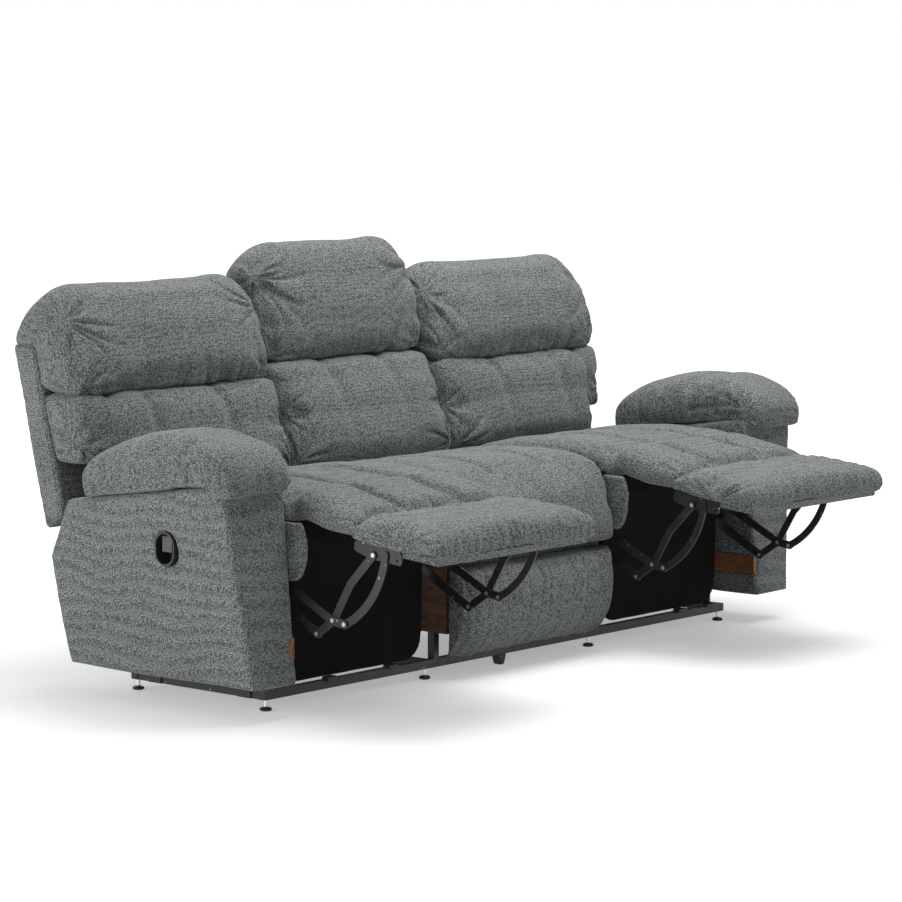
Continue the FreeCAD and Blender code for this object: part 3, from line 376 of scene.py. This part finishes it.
pillow = rolled_form("right_arm_pillow", ["right_arm_pad"], rests_on_arm, take_in=0.002, relax=8,
                     travel=0.016, shape=pillow_length)
pillows = {"right": pillow, "left": mirror_cover(pillow, "left_arm_pillow")}
for side, sign in SIDES:
    pillow = pillows[side]
    places, facing = read(pillow)
    _, y, z = places.T
    over = z - arm_top(y)
    side_on = np.clip(np.abs(facing[:, 0]) * 1.5 - 0.2, 0.0, 1.0)
    drawn = np.exp(-(over / 0.055) ** 2) * side_on
    heights = 0.009 * drawn * gathers(y, z, 0.030, 0.20, 4.0 + sign)
    band = np.clip((0.02 - y) / 0.02, 0.0, 1.0) * np.clip((y + 0.12) / 0.02, 0.0, 1.0)
    heights += -0.006 * side_on * np.exp(-((over - 0.040) / 0.006) ** 2) * band
    for pleat in (-0.085, 0.165):
        line = [(pleat, 0.49), (pleat + 0.02, 0.60)]
        heights += crease(places, line, [1, 2], 0.010, 0.013, 0.7) * side_on
    heights += crease(places, [(-0.03, 0.47), (-0.01, 0.70)], [1, 2], 0.014, 0.0035)
    heights += side_on * fan(places, (-0.175, 0.555), [1, 2], 0.10, 17, 0.008, 2.0 + sign)
    heights += 0.006 * waves(places, 0.11, 9.0 + sign)
    raise_cloth(pillow, heights)
    apply_modifier(pillow, "SMOOTH", factor=0.4, iterations=1)
    upholster(pillow, "base", [side + "_arm_pad"])


# Finger cups in the arms: an oval ring of black moulded plastic and a grey lever that hangs in its
# upper half from a steel rod.


def moulded_group():
    group, tree, links, given, out = new_group(
        "moulded_grain",
        [("Tint", "NodeSocketColor", (0.012, 0.012, 0.013, 1)),
         ("Worn", "NodeSocketColor", (0.1, 0.1, 0.1, 1)), ("Gloss", "NodeSocketFloat", 0.4)],
        [("Color", "NodeSocketColor"), ("Roughness", "NodeSocketFloat"), ("Height", "NodeSocketFloat")])
    place = tree.new("ShaderNodeTexCoord").outputs["Object"]
    grain = noise_node(tree, links, place, 1400.0)
    rubbed = step_node(tree, links, noise_node(tree, links, place, 60.0, 4.0), 0.5, 0.8, 0.0, 0.5)
    links.new(mix_node(tree, links, rubbed, given.outputs["Tint"], given.outputs["Worn"]), out.inputs["Color"])
    pitted = math_node(tree, links, "MULTIPLY", grain, 0.2)
    links.new(math_node(tree, links, "ADD", given.outputs["Gloss"], pitted), out.inputs["Roughness"])
    links.new(grain, out.inputs["Height"])
    return group


moulded_grain = moulded_group()
black_plastic = new_material("black_moulding", moulded_grain, {}, (0.25, 0.0004))
grey_plastic = new_material("grey_moulding", moulded_grain,
                            {"Tint": (0.055, 0.058, 0.06, 1), "Worn": (0.12, 0.12, 0.12, 1), "Gloss": 0.25},
                            (0.2, 0.0003))


def finish_node(name, material):
    """A block of the frame keeps its shape and gets its real finish."""
    mesh = nodes[name].data
    if not mesh.materials:
        mesh.materials.append(material)
    for number in range(len(mesh.materials)):
        mesh.materials[number] = material


finish_node("handle_bezels", black_plastic)
for side, _ in SIDES:
    finish_node(side + "_handle_lever", grey_plastic)


# Base: two long steel rails with side rails and posts, brushed with black paint that shows a little
# bare metal at its scuffs. The side plates and the footrest linkage have the same paint.


def steel_group():
    group, tree, links, given, out = new_group(
        "painted_steel",
        [("Paint", "NodeSocketColor", (0.022, 0.022, 0.023, 1)),
         ("Bare", "NodeSocketColor", (0.35, 0.35, 0.36, 1)), ("Wear", "NodeSocketFloat", 0.72)],
        [("Color", "NodeSocketColor"), ("Roughness", "NodeSocketFloat"), ("Metallic", "NodeSocketFloat"),
         ("Height", "NodeSocketFloat")])
    place = tree.new("ShaderNodeTexCoord").outputs["Object"]
    blotch = noise_node(tree, links, place, 85.0, 6.0)
    scuff = math_node(tree, links, "GREATER_THAN", blotch, given.outputs["Wear"])
    links.new(mix_node(tree, links, scuff, given.outputs["Paint"], given.outputs["Bare"]), out.inputs["Color"])
    links.new(step_node(tree, links, blotch, 0.3, 0.7, 0.32, 0.55), out.inputs["Roughness"])
    links.new(scuff, out.inputs["Metallic"])
    links.new(noise_node(tree, links, place, 500.0), out.inputs["Height"])
    return group


painted_steel = steel_group()
rail_steel = new_material("black_rail_steel", painted_steel, {}, (0.15, 0.0004))
link_steel = new_material("linkage_steel", painted_steel,
                          {"Paint": (0.016, 0.016, 0.018, 1), "Wear": 0.70}, (0.12, 0.0003))
for name in ("base_front_rail", "base_rear_rail", "base_side_rails", "base_posts"):
    finish_node(name, rail_steel)


# Levelling feet: black plastic discs that stand on the floor, on bright plated stems screwed up
# into the rails.
DISC_TOP = 0.0101
bright_zinc = new_material("bright_zinc", painted_steel,
                           {"Paint": (0.62, 0.62, 0.63, 1), "Bare": (0.75, 0.75, 0.76, 1), "Wear": 0.3},
                           (0.1, 0.0002))


def foot_material():
    """Black plastic up to the top of the disc, and bright plating above it."""
    material = bright_zinc.copy()
    material.name = "levelling_foot"
    tree, links = material.node_tree.nodes, material.node_tree.links
    shader = tree["Principled BSDF"]
    place = tree.new("ShaderNodeSeparateXYZ")
    links.new(tree.new("ShaderNodeTexCoord").outputs["Object"], place.inputs[0])
    stem = step_node(tree, links, place.outputs["Z"], DISC_TOP - 0.0003, DISC_TOP + 0.0003)
    plated = shader.inputs["Base Color"].links[0].from_socket
    colour = mix_node(tree, links, stem, (0.012, 0.012, 0.012, 1), plated)
    links.new(colour, shader.inputs["Base Color"])
    metal = shader.inputs["Metallic"].links[0].from_socket
    links.new(math_node(tree, links, "MULTIPLY", stem, metal), shader.inputs["Metallic"])
    return material


finish_node("glides", foot_material())


# Bare softwood: the inner rail of each arm, the rear rails of the seats and the sides of the middle seat's
# box, sawn and left unfinished; the box sides get a darker copy of the wood as painted shade. The box's front
# board is covered in tweed.


def wood_group():
    group, tree, links, given, out = new_group(
        "sawn_wood",
        [("Early wood", "NodeSocketColor", (0.30, 0.13, 0.035, 1)),
         ("Late wood", "NodeSocketColor", (0.13, 0.045, 0.01, 1))],
        [("Color", "NodeSocketColor"), ("Roughness", "NodeSocketFloat"), ("Height", "NodeSocketFloat")])
    mapping = tree.new("ShaderNodeMapping")
    mapping.inputs["Scale"].default_value = (14.0, 1.6, 14.0)
    links.new(tree.new("ShaderNodeTexCoord").outputs["Object"], mapping.inputs["Vector"])
    place = mapping.outputs[0]
    ring = tree.new("ShaderNodeTexWave")
    ring.inputs["Scale"].default_value = 1.3
    ring.inputs["Distortion"].default_value = 6.0
    ring.inputs["Detail"].default_value = 3.0
    links.new(place, ring.inputs["Vector"])
    fibre = noise_node(tree, links, place, 22.0, 5.0)
    share = math_node(tree, links, "MULTIPLY", ring.outputs["Fac"], fibre)
    share = step_node(tree, links, share, 0.05, 0.6)
    links.new(mix_node(tree, links, share, given.outputs["Early wood"], given.outputs["Late wood"]),
              out.inputs["Color"])
    links.new(step_node(tree, links, fibre, 0.3, 0.7, 0.6, 0.85), out.inputs["Roughness"])
    links.new(fibre, out.inputs["Height"])
    return group


sawn_wood = wood_group()
bare_wood = new_material("bare_softwood", sawn_wood, {}, (0.3, 0.0006))
for name in ("arm_inner_rails", "middle_rear_rail"):
    finish_node(name, bare_wood)
# A darker copy of the same wood for the middle box sides: painted shade for the shadow they sit in.
painted_shade_wood = new_material("softwood_painted_shade", sawn_wood,
                           {"Early wood": (0.13, 0.055, 0.015, 1), "Late wood": (0.055, 0.020, 0.005, 1)},
                           (0.3, 0.0006))
finish_node("middle_seat_sides", painted_shade_wood)
finish_node("middle_front_rail", tweed)


# Middle seat: a waterfall cushion on webbing, rolled down over the front board, with two sewn
# channels from back to front that end in soft pulls above the roll.


def webbing_group():
    group, tree, links, given, out = new_group(
        "woven_strap",
        [("Yarn", "NodeSocketColor", (0.03, 0.03, 0.03, 1)),
         ("Fleck", "NodeSocketColor", (0.09, 0.09, 0.09, 1))],
        [("Color", "NodeSocketColor"), ("Roughness", "NodeSocketFloat"), ("Height", "NodeSocketFloat")])
    place = tree.new("ShaderNodeTexCoord").outputs["Object"]
    rib = tree.new("ShaderNodeTexWave")
    rib.inputs["Scale"].default_value = 120.0
    links.new(place, rib.inputs["Vector"])
    fuzz = noise_node(tree, links, place, 900.0)
    share = math_node(tree, links, "MULTIPLY", rib.outputs["Fac"], fuzz)
    links.new(mix_node(tree, links, share, given.outputs["Yarn"], given.outputs["Fleck"]), out.inputs["Color"])
    links.new(step_node(tree, links, fuzz, 0.2, 0.8, 0.8, 0.98), out.inputs["Roughness"])
    links.new(rib.outputs["Fac"], out.inputs["Height"])
    return group


woven_strap = webbing_group()
webbing = new_material("elastic_webbing", woven_strap, {}, (0.4, 0.0006))
finish_node("middle_straps", webbing)



def rests_on_box(places, facing):
    return (facing[:, 2] < -0.7) & (places[:, 1] > -0.14)


seat = rolled_form("middle_seat_cover", ["middle_cushion"], rests_on_box, relax=5, travel=0.016)
places, facing = read(seat)
x, y, z = places.T
upper = np.clip(facing[:, 2] * 1.6, 0.0, 1.0)
heights = 0.005 * waves(places, 0.12, 21.0)
for channel in SEAT_CHANNELS:
    line = [(channel, 0.33), (channel, -0.05), (channel + 0.012, -0.11)]
    heights += upper * crease(places, line, [0, 1], 0.014, 0.017, 0.25)
    heights += 0.5 * fan(places, (channel + 0.012, -0.105), [0, 1], 0.055, 9, 0.008, 5.0) * upper
front = np.clip(-facing[:, 1], 0.0, 1.0)
heights += front * 0.004 * gathers(x, z, 0.045, 0.3, 8.0) * np.exp(-((z - 0.275) / 0.05) ** 2)
heights += front * 0.004 * gathers(x, z, 0.09, 0.4, 18.0)
raise_cloth(seat, heights)
upholster(seat, "base", ["middle_cushion"])


# Middle front panel: tweed over thin foam on the front board, gathered into many upright pleats
# between the crease under the cushion and the lower edge.
PANEL_TOP = 0.262
PANEL_END = 0.285


def stuck_to_board(places, facing):
    return facing[:, 1] > 0.6


panel = rolled_form("middle_front_cover", ["middle_front_pad"], stuck_to_board, relax=3, travel=0.010)
places, facing = read(panel)
x, y, z = places.T
front = np.clip(-facing[:, 1] * 1.3, 0.0, 1.0)
ends = np.exp(-((np.abs(x) - PANEL_END) / 0.09) ** 2)
edge = 0.45 + 0.55 * np.exp(-((z - PANEL_TOP) / 0.06) ** 2) + 0.4 * np.exp(-((z - 0.06) / 0.05) ** 2)
heights = front * 0.008 * edge * gathers(x, z, 0.034, 0.42, 31.0)
heights += front * 0.0035 * gathers(x, z, 0.07, 0.5, 41.0)
for end in (1, -1):
    heights += ends * fan(places, (end * PANEL_END, PANEL_TOP), [0, 2], 0.11, 14, 0.007, 7.0 + end)
raise_cloth(panel, heights)
upholster(panel, "base", ["middle_front_pad"])


# Middle back: a high headrest pillow over a lumbar pillow, both fibre filled and sewn together in a
# deep seam. The cloth is gathered along the seam and drawn together at the pillow's upper ends.


def pillow_folds(piece, centre, half, seam, crown, seed):
    """Gathers over the seam below a headrest, and folds that spread from its ends."""
    places, facing = read(piece)
    x, z = places[:, 0] - centre, places[:, 2]
    front = np.clip(0.4 - facing[:, 1], 0.0, 1.0)
    low = np.exp(-np.clip(z - seam, 0.0, 1.0) / 0.045)
    right_end = 0.35 + 0.65 / (1.0 + np.exp(-(x + 0.02) / 0.06))
    heights = front * low * right_end * 0.010 * gathers(x, z, 0.036, 0.28, seed)
    for end in (-1, 1):
        corner = (centre + end * (half - 0.012), crown - 0.085)
        heights += front * fan(places, corner, [0, 2], 0.12, 15, 0.013, seed + end)
        foot = (centre + end * (half - 0.02), seam + 0.01)
        heights += front * fan(places, foot, [0, 2], 0.085, 13, 0.009, seed + 3 + end)
    heights += 0.005 * waves(places, 0.14, seed + 5)
    raise_cloth(piece, heights)


def lumbar_folds(piece, centre, half, seam, low, seed):
    """Two soft upright pulls below the seam, and folds that spread from the sides and lower corners."""
    places, facing = read(piece)
    front = np.clip(0.3 - facing[:, 1], 0.0, 1.0)
    heights = 0.005 * waves(places, 0.14, seed)
    for share in (-0.36, 0.36):
        top = centre + share * half
        line = [(top, seam), (top + 0.01, seam - 0.09), (top + 0.02, seam - 0.20)]
        heights += front * crease(places, line, [0, 2], 0.020, 0.012, 0.9)
    for end in (-1, 1):
        foot = (centre + end * (half - 0.005), low + 0.03)
        heights += front * fan(places, foot, [0, 2], 0.11, 15, 0.011, seed + end)
        waist = (centre + end * half, (seam + low) / 2 + 0.02)
        heights += front * fan(places, waist, [0, 2], 0.07, 11, 0.007, seed + 4 + end)
    raise_cloth(piece, heights)


def leans_on_frame(places, facing):
    return (facing[:, 1] > 0.72) & (facing[:, 2] < 0.25)


def full_pillow(centre, half, seam, far, drop=0.0, outer=0.0):
    """A shape for a back pillow: its front swells towards the seam, its far corners fall away."""
    rounding = 0.13

    def shape(places, facing):
        x, y, z = places.T
        front = np.clip((0.3 - facing[:, 1]) / 0.9, 0.0, 1.0)
        reach = np.abs(z - seam)
        toward_seam = np.clip(1.25 - reach / abs(far - seam), 0.0, 1.0)
        out = np.clip((np.abs(x - centre) - (half - rounding)) / rounding, 0.0, 1.1) ** 2.2
        swell = front * (0.034 * toward_seam - 0.012 * out)
        close = np.sign(seam - far) * 0.009 * front * np.exp(-(reach / 0.04) ** 2)
        fall = drop * out * np.clip((z - seam) / (far - seam), 0.0, 1.0) ** 1.5
        end = np.clip(facing[:, 0], 0.0, 1.0) * outer
        return np.column_stack((x + end, y - swell, z + close - fall))
    return shape


def back_shell(name, source, body):
    """The outer back: tweed stretched over the wooden back frame, its edges rolled over wadding."""
    shell = copied_block(name, [source])
    bpy.ops.object.mode_set(mode="EDIT")
    bpy.ops.mesh.select_all(action="SELECT")
    bpy.ops.mesh.convex_hull()
    bpy.ops.object.mode_set(mode="OBJECT")
    apply_modifier(shell, "REMESH", mode="VOXEL", voxel_size=0.008)
    apply_modifier(shell, "SMOOTH", factor=0.5, iterations=5)
    places, _ = read(shell)
    raise_cloth(shell, 0.0015 + 0.003 * waves(places, 0.2, 13.0))
    dress(shell, tweed)
    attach(shell, body)
    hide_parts(source)


back_shell("middle_back_shell", "middle_back_frame", "base")
lumbar = rolled_form("middle_lumbar_pillow", ["middle_lumbar"], leans_on_frame, travel=0.007,
                     shape=full_pillow(0.0, MIDDLE_BACK_HALF, 0.718, 0.45))
lumbar_folds(lumbar, 0.0, MIDDLE_BACK_HALF, 0.718, 0.452, 51.0)
upholster(lumbar, "base", ["middle_lumbar"])
headrest = rolled_form("middle_headrest_pillow", ["middle_headrest"], leans_on_frame, travel=0.007,
                       shape=full_pillow(0.0, MIDDLE_BACK_HALF, 0.726, 1.0, 0.050))
pillow_folds(headrest, 0.0, MIDDLE_BACK_HALF, 0.722, 1.022, 61.0)
upholster(headrest, "base", ["middle_headrest"])


# Recliner backs: the same two pillows on a tilting back, wider, with wings that reach behind the arm
# pillows, over a tweed-covered frame on steel brackets.
lumbar_shape = full_pillow(RECLINER_BACK_CENTRE, RECLINER_BACK_HALF, 0.688, 0.46)
headrest_shape = full_pillow(RECLINER_BACK_CENTRE, RECLINER_BACK_HALF, 0.696, 0.935, 0.034, 0.008)
lumbar = rolled_form("right_lumbar_pillow", ["right_back_lumbar"], leans_on_frame, travel=0.007,
                     shape=lumbar_shape)
headrest = rolled_form("right_headrest_pillow", ["right_back_headrest"], leans_on_frame, travel=0.007,
                       shape=headrest_shape)
lumbars = {"right": lumbar, "left": mirror_cover(lumbar, "left_lumbar_pillow")}
headrests = {"right": headrest, "left": mirror_cover(headrest, "left_headrest_pillow")}
for side, sign in SIDES:
    body = side + "_back"
    centre = sign * RECLINER_BACK_CENTRE
    lumbar_folds(lumbars[side], centre, RECLINER_BACK_HALF, 0.676, 0.446, 71.0 + 9 * sign)
    upholster(lumbars[side], body, [side + "_back_lumbar"])
    pillow_folds(headrests[side], centre, RECLINER_BACK_HALF, 0.70, 0.950, 82.0 + 7 * sign)
    upholster(headrests[side], body, [side + "_back_headrest"])
    back_shell(side + "_back_shell", side + "_back_frame", body)
    finish_node(side + "_back_brackets", link_steel)


# Recliner seats: foam cushions on webbing between two wooden rails. The chaise cover runs on over the front
# edge to the footrest in one piece, with two sewn channels, and is gathered where it turns over that edge.


def rests_on_straps(places, facing):
    return (facing[:, 2] < -0.7) & (places[:, 1] > -0.15)


def eased(values):
    """A share that leaves 0 and reaches 1 smoothly."""
    share = np.clip(values, 0.0, 1.0)
    return share * share * (3 - 2 * share)


def reach_forward(places, facing):
    """The front end of the cover runs on to the footrest."""
    ease = eased((-0.25 - places[:, 1]) / 0.09)
    return places + np.column_stack((0 * ease, -0.024 * ease, 0.004 * ease))


seat = rolled_form("right_chaise_cover", ["right_seat_cushion", "right_bridge_pad"], rests_on_straps,
                   travel=0.017, shape=reach_forward)
chaises = {"right": seat, "left": mirror_cover(seat, "left_chaise_cover")}
for side, sign in SIDES:
    seat = chaises[side]
    places, facing = read(seat)
    x, y, _ = places.T
    centre = sign * SEAT_CENTRE
    upper = np.clip(facing[:, 2] * 1.6, 0.0, 1.0)
    heights = 0.005 * waves(places, 0.12, 91.0 + sign)
    for channel in SEAT_CHANNELS:
        sewn = centre + channel
        line = [(sewn, 0.30), (sewn, -0.20), (sewn + 0.006, -0.345)]
        heights += upper * crease(places, line, [0, 1], 0.015, 0.017, -0.15)
    near_fold = np.exp(-((y + 0.35) / 0.05) ** 2)
    heights += upper * 0.007 * gathers(x, y, 0.045, 0.25, 15.0 + sign) * near_fold
    raise_cloth(seat, heights)
    dress(seat, tweed)
    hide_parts(side + "_seat_cushion", side + "_bridge_pad")
    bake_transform(seat)
    finish_node(side + "_seat_rear_rail", bare_wood)
    finish_node(side + "_seat_straps", webbing)
    finish_node(side + "_side_plates", link_steel)


# Side bolsters: small padded cheeks in tweed, screwed to the side plates, that close the gap
# beside the seat's front edge.


def held_at_sides(places, facing):
    return np.abs(facing[:, 0]) > 0.8


bolster = rolled_form("right_seat_bolsters", ["right_side_bolsters"], held_at_sides, voxel=0.005,
                      take_in=0.002, relax=3, travel=0.008)
bolsters = {"right": bolster, "left": mirror_cover(bolster, "left_seat_bolsters")}
for side, sign in SIDES:
    places, _ = read(bolsters[side])
    raise_cloth(bolsters[side], 0.003 * waves(places, 0.06, 5.0 + sign))
    upholster(bolsters[side], side + "_carriage", [side + "_side_bolsters"])


# Aprons: a dark lining over the panel that hangs below each recliner seat from its front rail, with a few
# slack waves; its colour is darkened to near black as painted shade for the shadow under the seat. The rail is
# wrapped in the same lining.
# Dark cloth whose near-black colour is partly painted shade under the seat.
lining_with_painted_shade = new_material("lining_with_painted_shade", woven_strap,
                            {"Yarn": (0.0045, 0.0045, 0.004, 1), "Fleck": (0.011, 0.011, 0.010, 1)},
                            (0.12, 0.0003), Specular_IOR_Level=0.12)
for side, sign in SIDES:
    apron = copied_block(side + "_lining", [side + "_apron"])
    apply_modifier(apron, "REMESH", mode="VOXEL", voxel_size=0.005)
    apply_modifier(apron, "SMOOTH", factor=0.5, iterations=2)
    places, facing = read(apron)
    slack = np.clip(-facing[:, 1], 0.0, 1.0) * np.exp(-((places[:, 2] - 0.12) / 0.12) ** 2)
    raise_cloth(apron, 0.004 * slack * waves(places * np.array([1.0, 1.0, 0.3]), 0.05, 2.0 + sign))
    dress(apron, lining_with_painted_shade)
    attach(apron, side + "_carriage")
    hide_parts(side + "_apron")
    finish_node(side + "_seat_front_rail", lining_with_painted_shade)


# Footrests: a thick pad wrapped round a board, tweed gathered at its two ends, carried by pressed
# brackets on a linkage of flat steel bars with bright rivets.


RIVETS = ((-0.2991, 0.227), (-0.2461, 0.191), (-0.4171, 0.384), (-0.3341, 0.222), (-0.0431, 0.299))
RIVET_RADIUS = 0.005


def riveted_steel():
    """Black bars with bright rivet heads at the pivots, seen from the side."""
    material = link_steel.copy()
    material.name = "riveted_linkage"
    tree, links = material.node_tree.nodes, material.node_tree.links
    shader = tree["Principled BSDF"]
    place = tree.new("ShaderNodeTexCoord").outputs["Object"]
    flat = tree.new("ShaderNodeMapping")
    flat.vector_type = "POINT"
    flat.inputs["Scale"].default_value = (0.0, 1.0, 1.0)
    links.new(place, flat.inputs["Vector"])
    shine = None
    for depth, height in RIVETS:
        gap = tree.new("ShaderNodeVectorMath")
        gap.operation = "DISTANCE"
        links.new(flat.outputs[0], gap.inputs[0])
        gap.inputs[1].default_value = (0.0, depth, height)
        spot = step_node(tree, links, gap.outputs["Value"], RIVET_RADIUS - 0.0004,
                         RIVET_RADIUS + 0.0004, 1.0, 0.0)
        shine = spot if shine is None else math_node(tree, links, "MAXIMUM", shine, spot)
    paint = shader.inputs["Base Color"].links[0].from_socket
    links.new(mix_node(tree, links, shine, paint, (0.6, 0.6, 0.6, 1)), shader.inputs["Base Color"])
    metal = shader.inputs["Metallic"].links[0].from_socket
    links.new(math_node(tree, links, "MAXIMUM", shine, metal), shader.inputs["Metallic"])
    return material


linkage = riveted_steel()


def reach_back(places, facing):
    """The rear edge of the pad meets the chaise cover."""
    ease = eased((places[:, 1] + 0.42) / 0.05)
    return places + np.column_stack((0 * ease, 0.016 * ease, 0 * ease))


def rests_on_footboard(places, facing):
    return (facing[:, 2] < -0.9) & (places[:, 1] > -0.52)


pad = rolled_form("right_footrest_cover", ["right_footrest_pad"], rests_on_footboard,
                  take_in=0.001, relax=6, shape=reach_back)
pads = {"right": pad, "left": mirror_cover(pad, "left_footrest_cover")}
for side, sign in SIDES:
    pad = pads[side]
    places, facing = read(pad)
    x, y, z = places.T
    centre = sign * SEAT_CENTRE
    nose = np.clip(-facing[:, 1], 0.0, 1.0)
    upper = np.clip(facing[:, 2], 0.0, 1.0)
    heights = 0.006 * waves(places, 0.12, 33.0 + sign)
    heights += 0.004 * nose * gathers(x, z, 0.024, 0.2, 35.0 + sign)
    near_fold = np.exp(-((y + 0.37) / 0.05) ** 2)
    heights += 0.008 * gathers(x, y, 0.045, 0.3, 45.0 + sign) * near_fold
    for end in (-1, 1):
        near_end = np.exp(-((np.abs(x - centre - end * 0.287)) / 0.055) ** 2)
        heights += near_end * fan(places, (-0.50, 0.400), [1, 2], 0.13, 26, 0.0095, 12.0 + sign + end)
        corner = (centre + end * 0.26, -0.39)
        heights += 0.7 * fan(places, corner, [0, 1], 0.12, 17, 0.0075, 17.0 + end) * upper
    raise_cloth(pad, heights)
    upholster(pad, side + "_footrest", [side + "_footrest_pad"])
    finish_node(side + "_footrest_board", tweed)
    finish_node(side + "_footrest_brackets", link_steel)
    for name in ("drive_frame", "lift_links", "radius_links", "curved_links"):
        finish_node(side + "_" + name, linkage)


# Clips and middle foot: black plastic clips that hold the lining to the front rail, and a moulded
# wedge under the rail's middle that keeps it off the floor.
CLIP_PLACES = (-0.652, -0.442, 0.679, 0.800)
CLIP_SIZE = (0.030, 0.022, 0.010)
FOOT_SIZE = (0.034, 0.024, 0.027)


def moulded_block(name, centre, size, taper):
    """A small moulding: a block narrowed or widened at its lower end, all edges rounded."""
    bpy.ops.object.select_all(action="DESELECT")
    bpy.ops.mesh.primitive_cube_add(size=1, location=centre)
    block = bpy.context.object
    block.name = name
    block.scale = size
    bpy.ops.object.transform_apply(location=True, rotation=True, scale=True)
    places, _ = read(block)
    low = places[:, 2] < centre[2]
    places[low, 0] = centre[0] + (places[low, 0] - centre[0]) * taper
    write(block, places)
    apply_modifier(block, "BEVEL", width=min(size) * 0.18, segments=3)
    dress(block, black_plastic)
    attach(block, "base")


for number, place in enumerate(CLIP_PLACES):
    moulded_block("rail_clip_%d" % (number + 1), (place, -0.1075, 0.0495), CLIP_SIZE, 1.25)
moulded_block("middle_foot", (-0.037, -0.098, 0.0135), FOOT_SIZE, 0.45)


# Room: a pale floor that keeps the sofa's shadow, under a white surround with two soft lights, and
# a camera where the photographer stood.


def seen_directly(tree, links):
    """1 where the camera, a reflection or a clear body looks straight at the surface, and 0 elsewhere."""
    path = tree.new("ShaderNodeLightPath")
    seen = math_node(tree, links, "MAXIMUM", path.outputs["Is Camera Ray"], path.outputs["Is Glossy Ray"])
    return math_node(tree, links, "MAXIMUM", seen, path.outputs["Is Transmission Ray"])


bpy.ops.object.select_all(action="DESELECT")
bpy.ops.mesh.primitive_plane_add(size=60, location=(0, 0, 0))
floor = bpy.context.object
floor.name = "floor"
floor_paint = bpy.data.materials.new("pale_floor")
floor_paint.use_nodes = True
tree, links = floor_paint.node_tree.nodes, floor_paint.node_tree.links
shader = tree["Principled BSDF"]
shader.inputs["Roughness"].default_value = 0.9
shader.inputs["Base Color"].default_value = (0.80, 0.80, 0.80, 1)
shader.inputs["Emission Color"].default_value = (1, 1, 1, 1)
seen = seen_directly(tree, links)
# The floor's glow for direct views rises from 0.36 within a metre of the centre to 0.90 at 4 m: the weaker
# glow round the sofa is painted shade on top of its real shadow.
ground = tree.new("ShaderNodeVectorMath")
ground.operation = "LENGTH"
links.new(tree.new("ShaderNodeTexCoord").outputs["Object"], ground.inputs[0])
glow_with_painted_shade = step_node(tree, links, ground.outputs["Value"], 1.0, 4.0, 0.36, 0.90)
links.new(math_node(tree, links, "MULTIPLY", seen, glow_with_painted_shade), shader.inputs["Emission Strength"])
floor.data.materials.append(floor_paint)

world = bpy.data.worlds.new("studio")
bpy.context.scene.world = world
world.use_nodes = True
tree, links = world.node_tree.nodes, world.node_tree.links
tree.clear()
seen = seen_directly(tree, links)
soft = tree.new("ShaderNodeBackground")
soft.inputs["Color"].default_value = (0.95, 0.98, 1.0, 1)
soft.inputs["Strength"].default_value = 0.36
white = tree.new("ShaderNodeBackground")
white.inputs["Color"].default_value = (1, 1, 1, 1)
white.inputs["Strength"].default_value = 1.0
mix = tree.new("ShaderNodeMixShader")
links.new(seen, mix.inputs[0])
links.new(soft.outputs[0], mix.inputs[1])
links.new(white.outputs[0], mix.inputs[2])
links.new(mix.outputs[0], tree.new("ShaderNodeOutputWorld").inputs[0])


def softbox(name, place, target, size, power):
    lamp = bpy.data.lights.new(name, "AREA")
    lamp.shape = "SQUARE"
    lamp.size = size
    lamp.energy = power
    holder = bpy.data.objects.new(name, lamp)
    bpy.context.scene.collection.objects.link(holder)
    holder.location = place
    holder.rotation_mode = "QUATERNION"
    holder.rotation_quaternion = (Vector(target) - Vector(place)).to_track_quat("-Z", "Y")


softbox("overhead", (0.5, -0.2, 3.4), (0.0, 0.1, 0.5), 2.8, 110)
softbox("low_left", (-4.4, 0.9, 1.0), (-1.0, 0.0, 0.45), 1.8, 68)

camera = bpy.data.objects.new("camera", bpy.data.cameras.new("camera"))
bpy.context.scene.collection.objects.link(camera)
camera.location = (-6.43972, -5.51185, 1.45556)
look = Vector((0.75061, 0.65136, -0.11099)).to_track_quat("-Z", "Y").to_matrix()
camera.rotation_euler = (look @ Matrix.Rotation(math.radians(0.0154), 3, "Z")).to_euler()
camera.data.sensor_width = 36.0
camera.data.lens = 138.69
camera.data.shift_x = -0.0043
camera.data.shift_y = 0.0022
camera.data.clip_end = 200
bpy.context.scene.camera = camera
bpy.context.scene.view_settings.view_transform = "Standard"
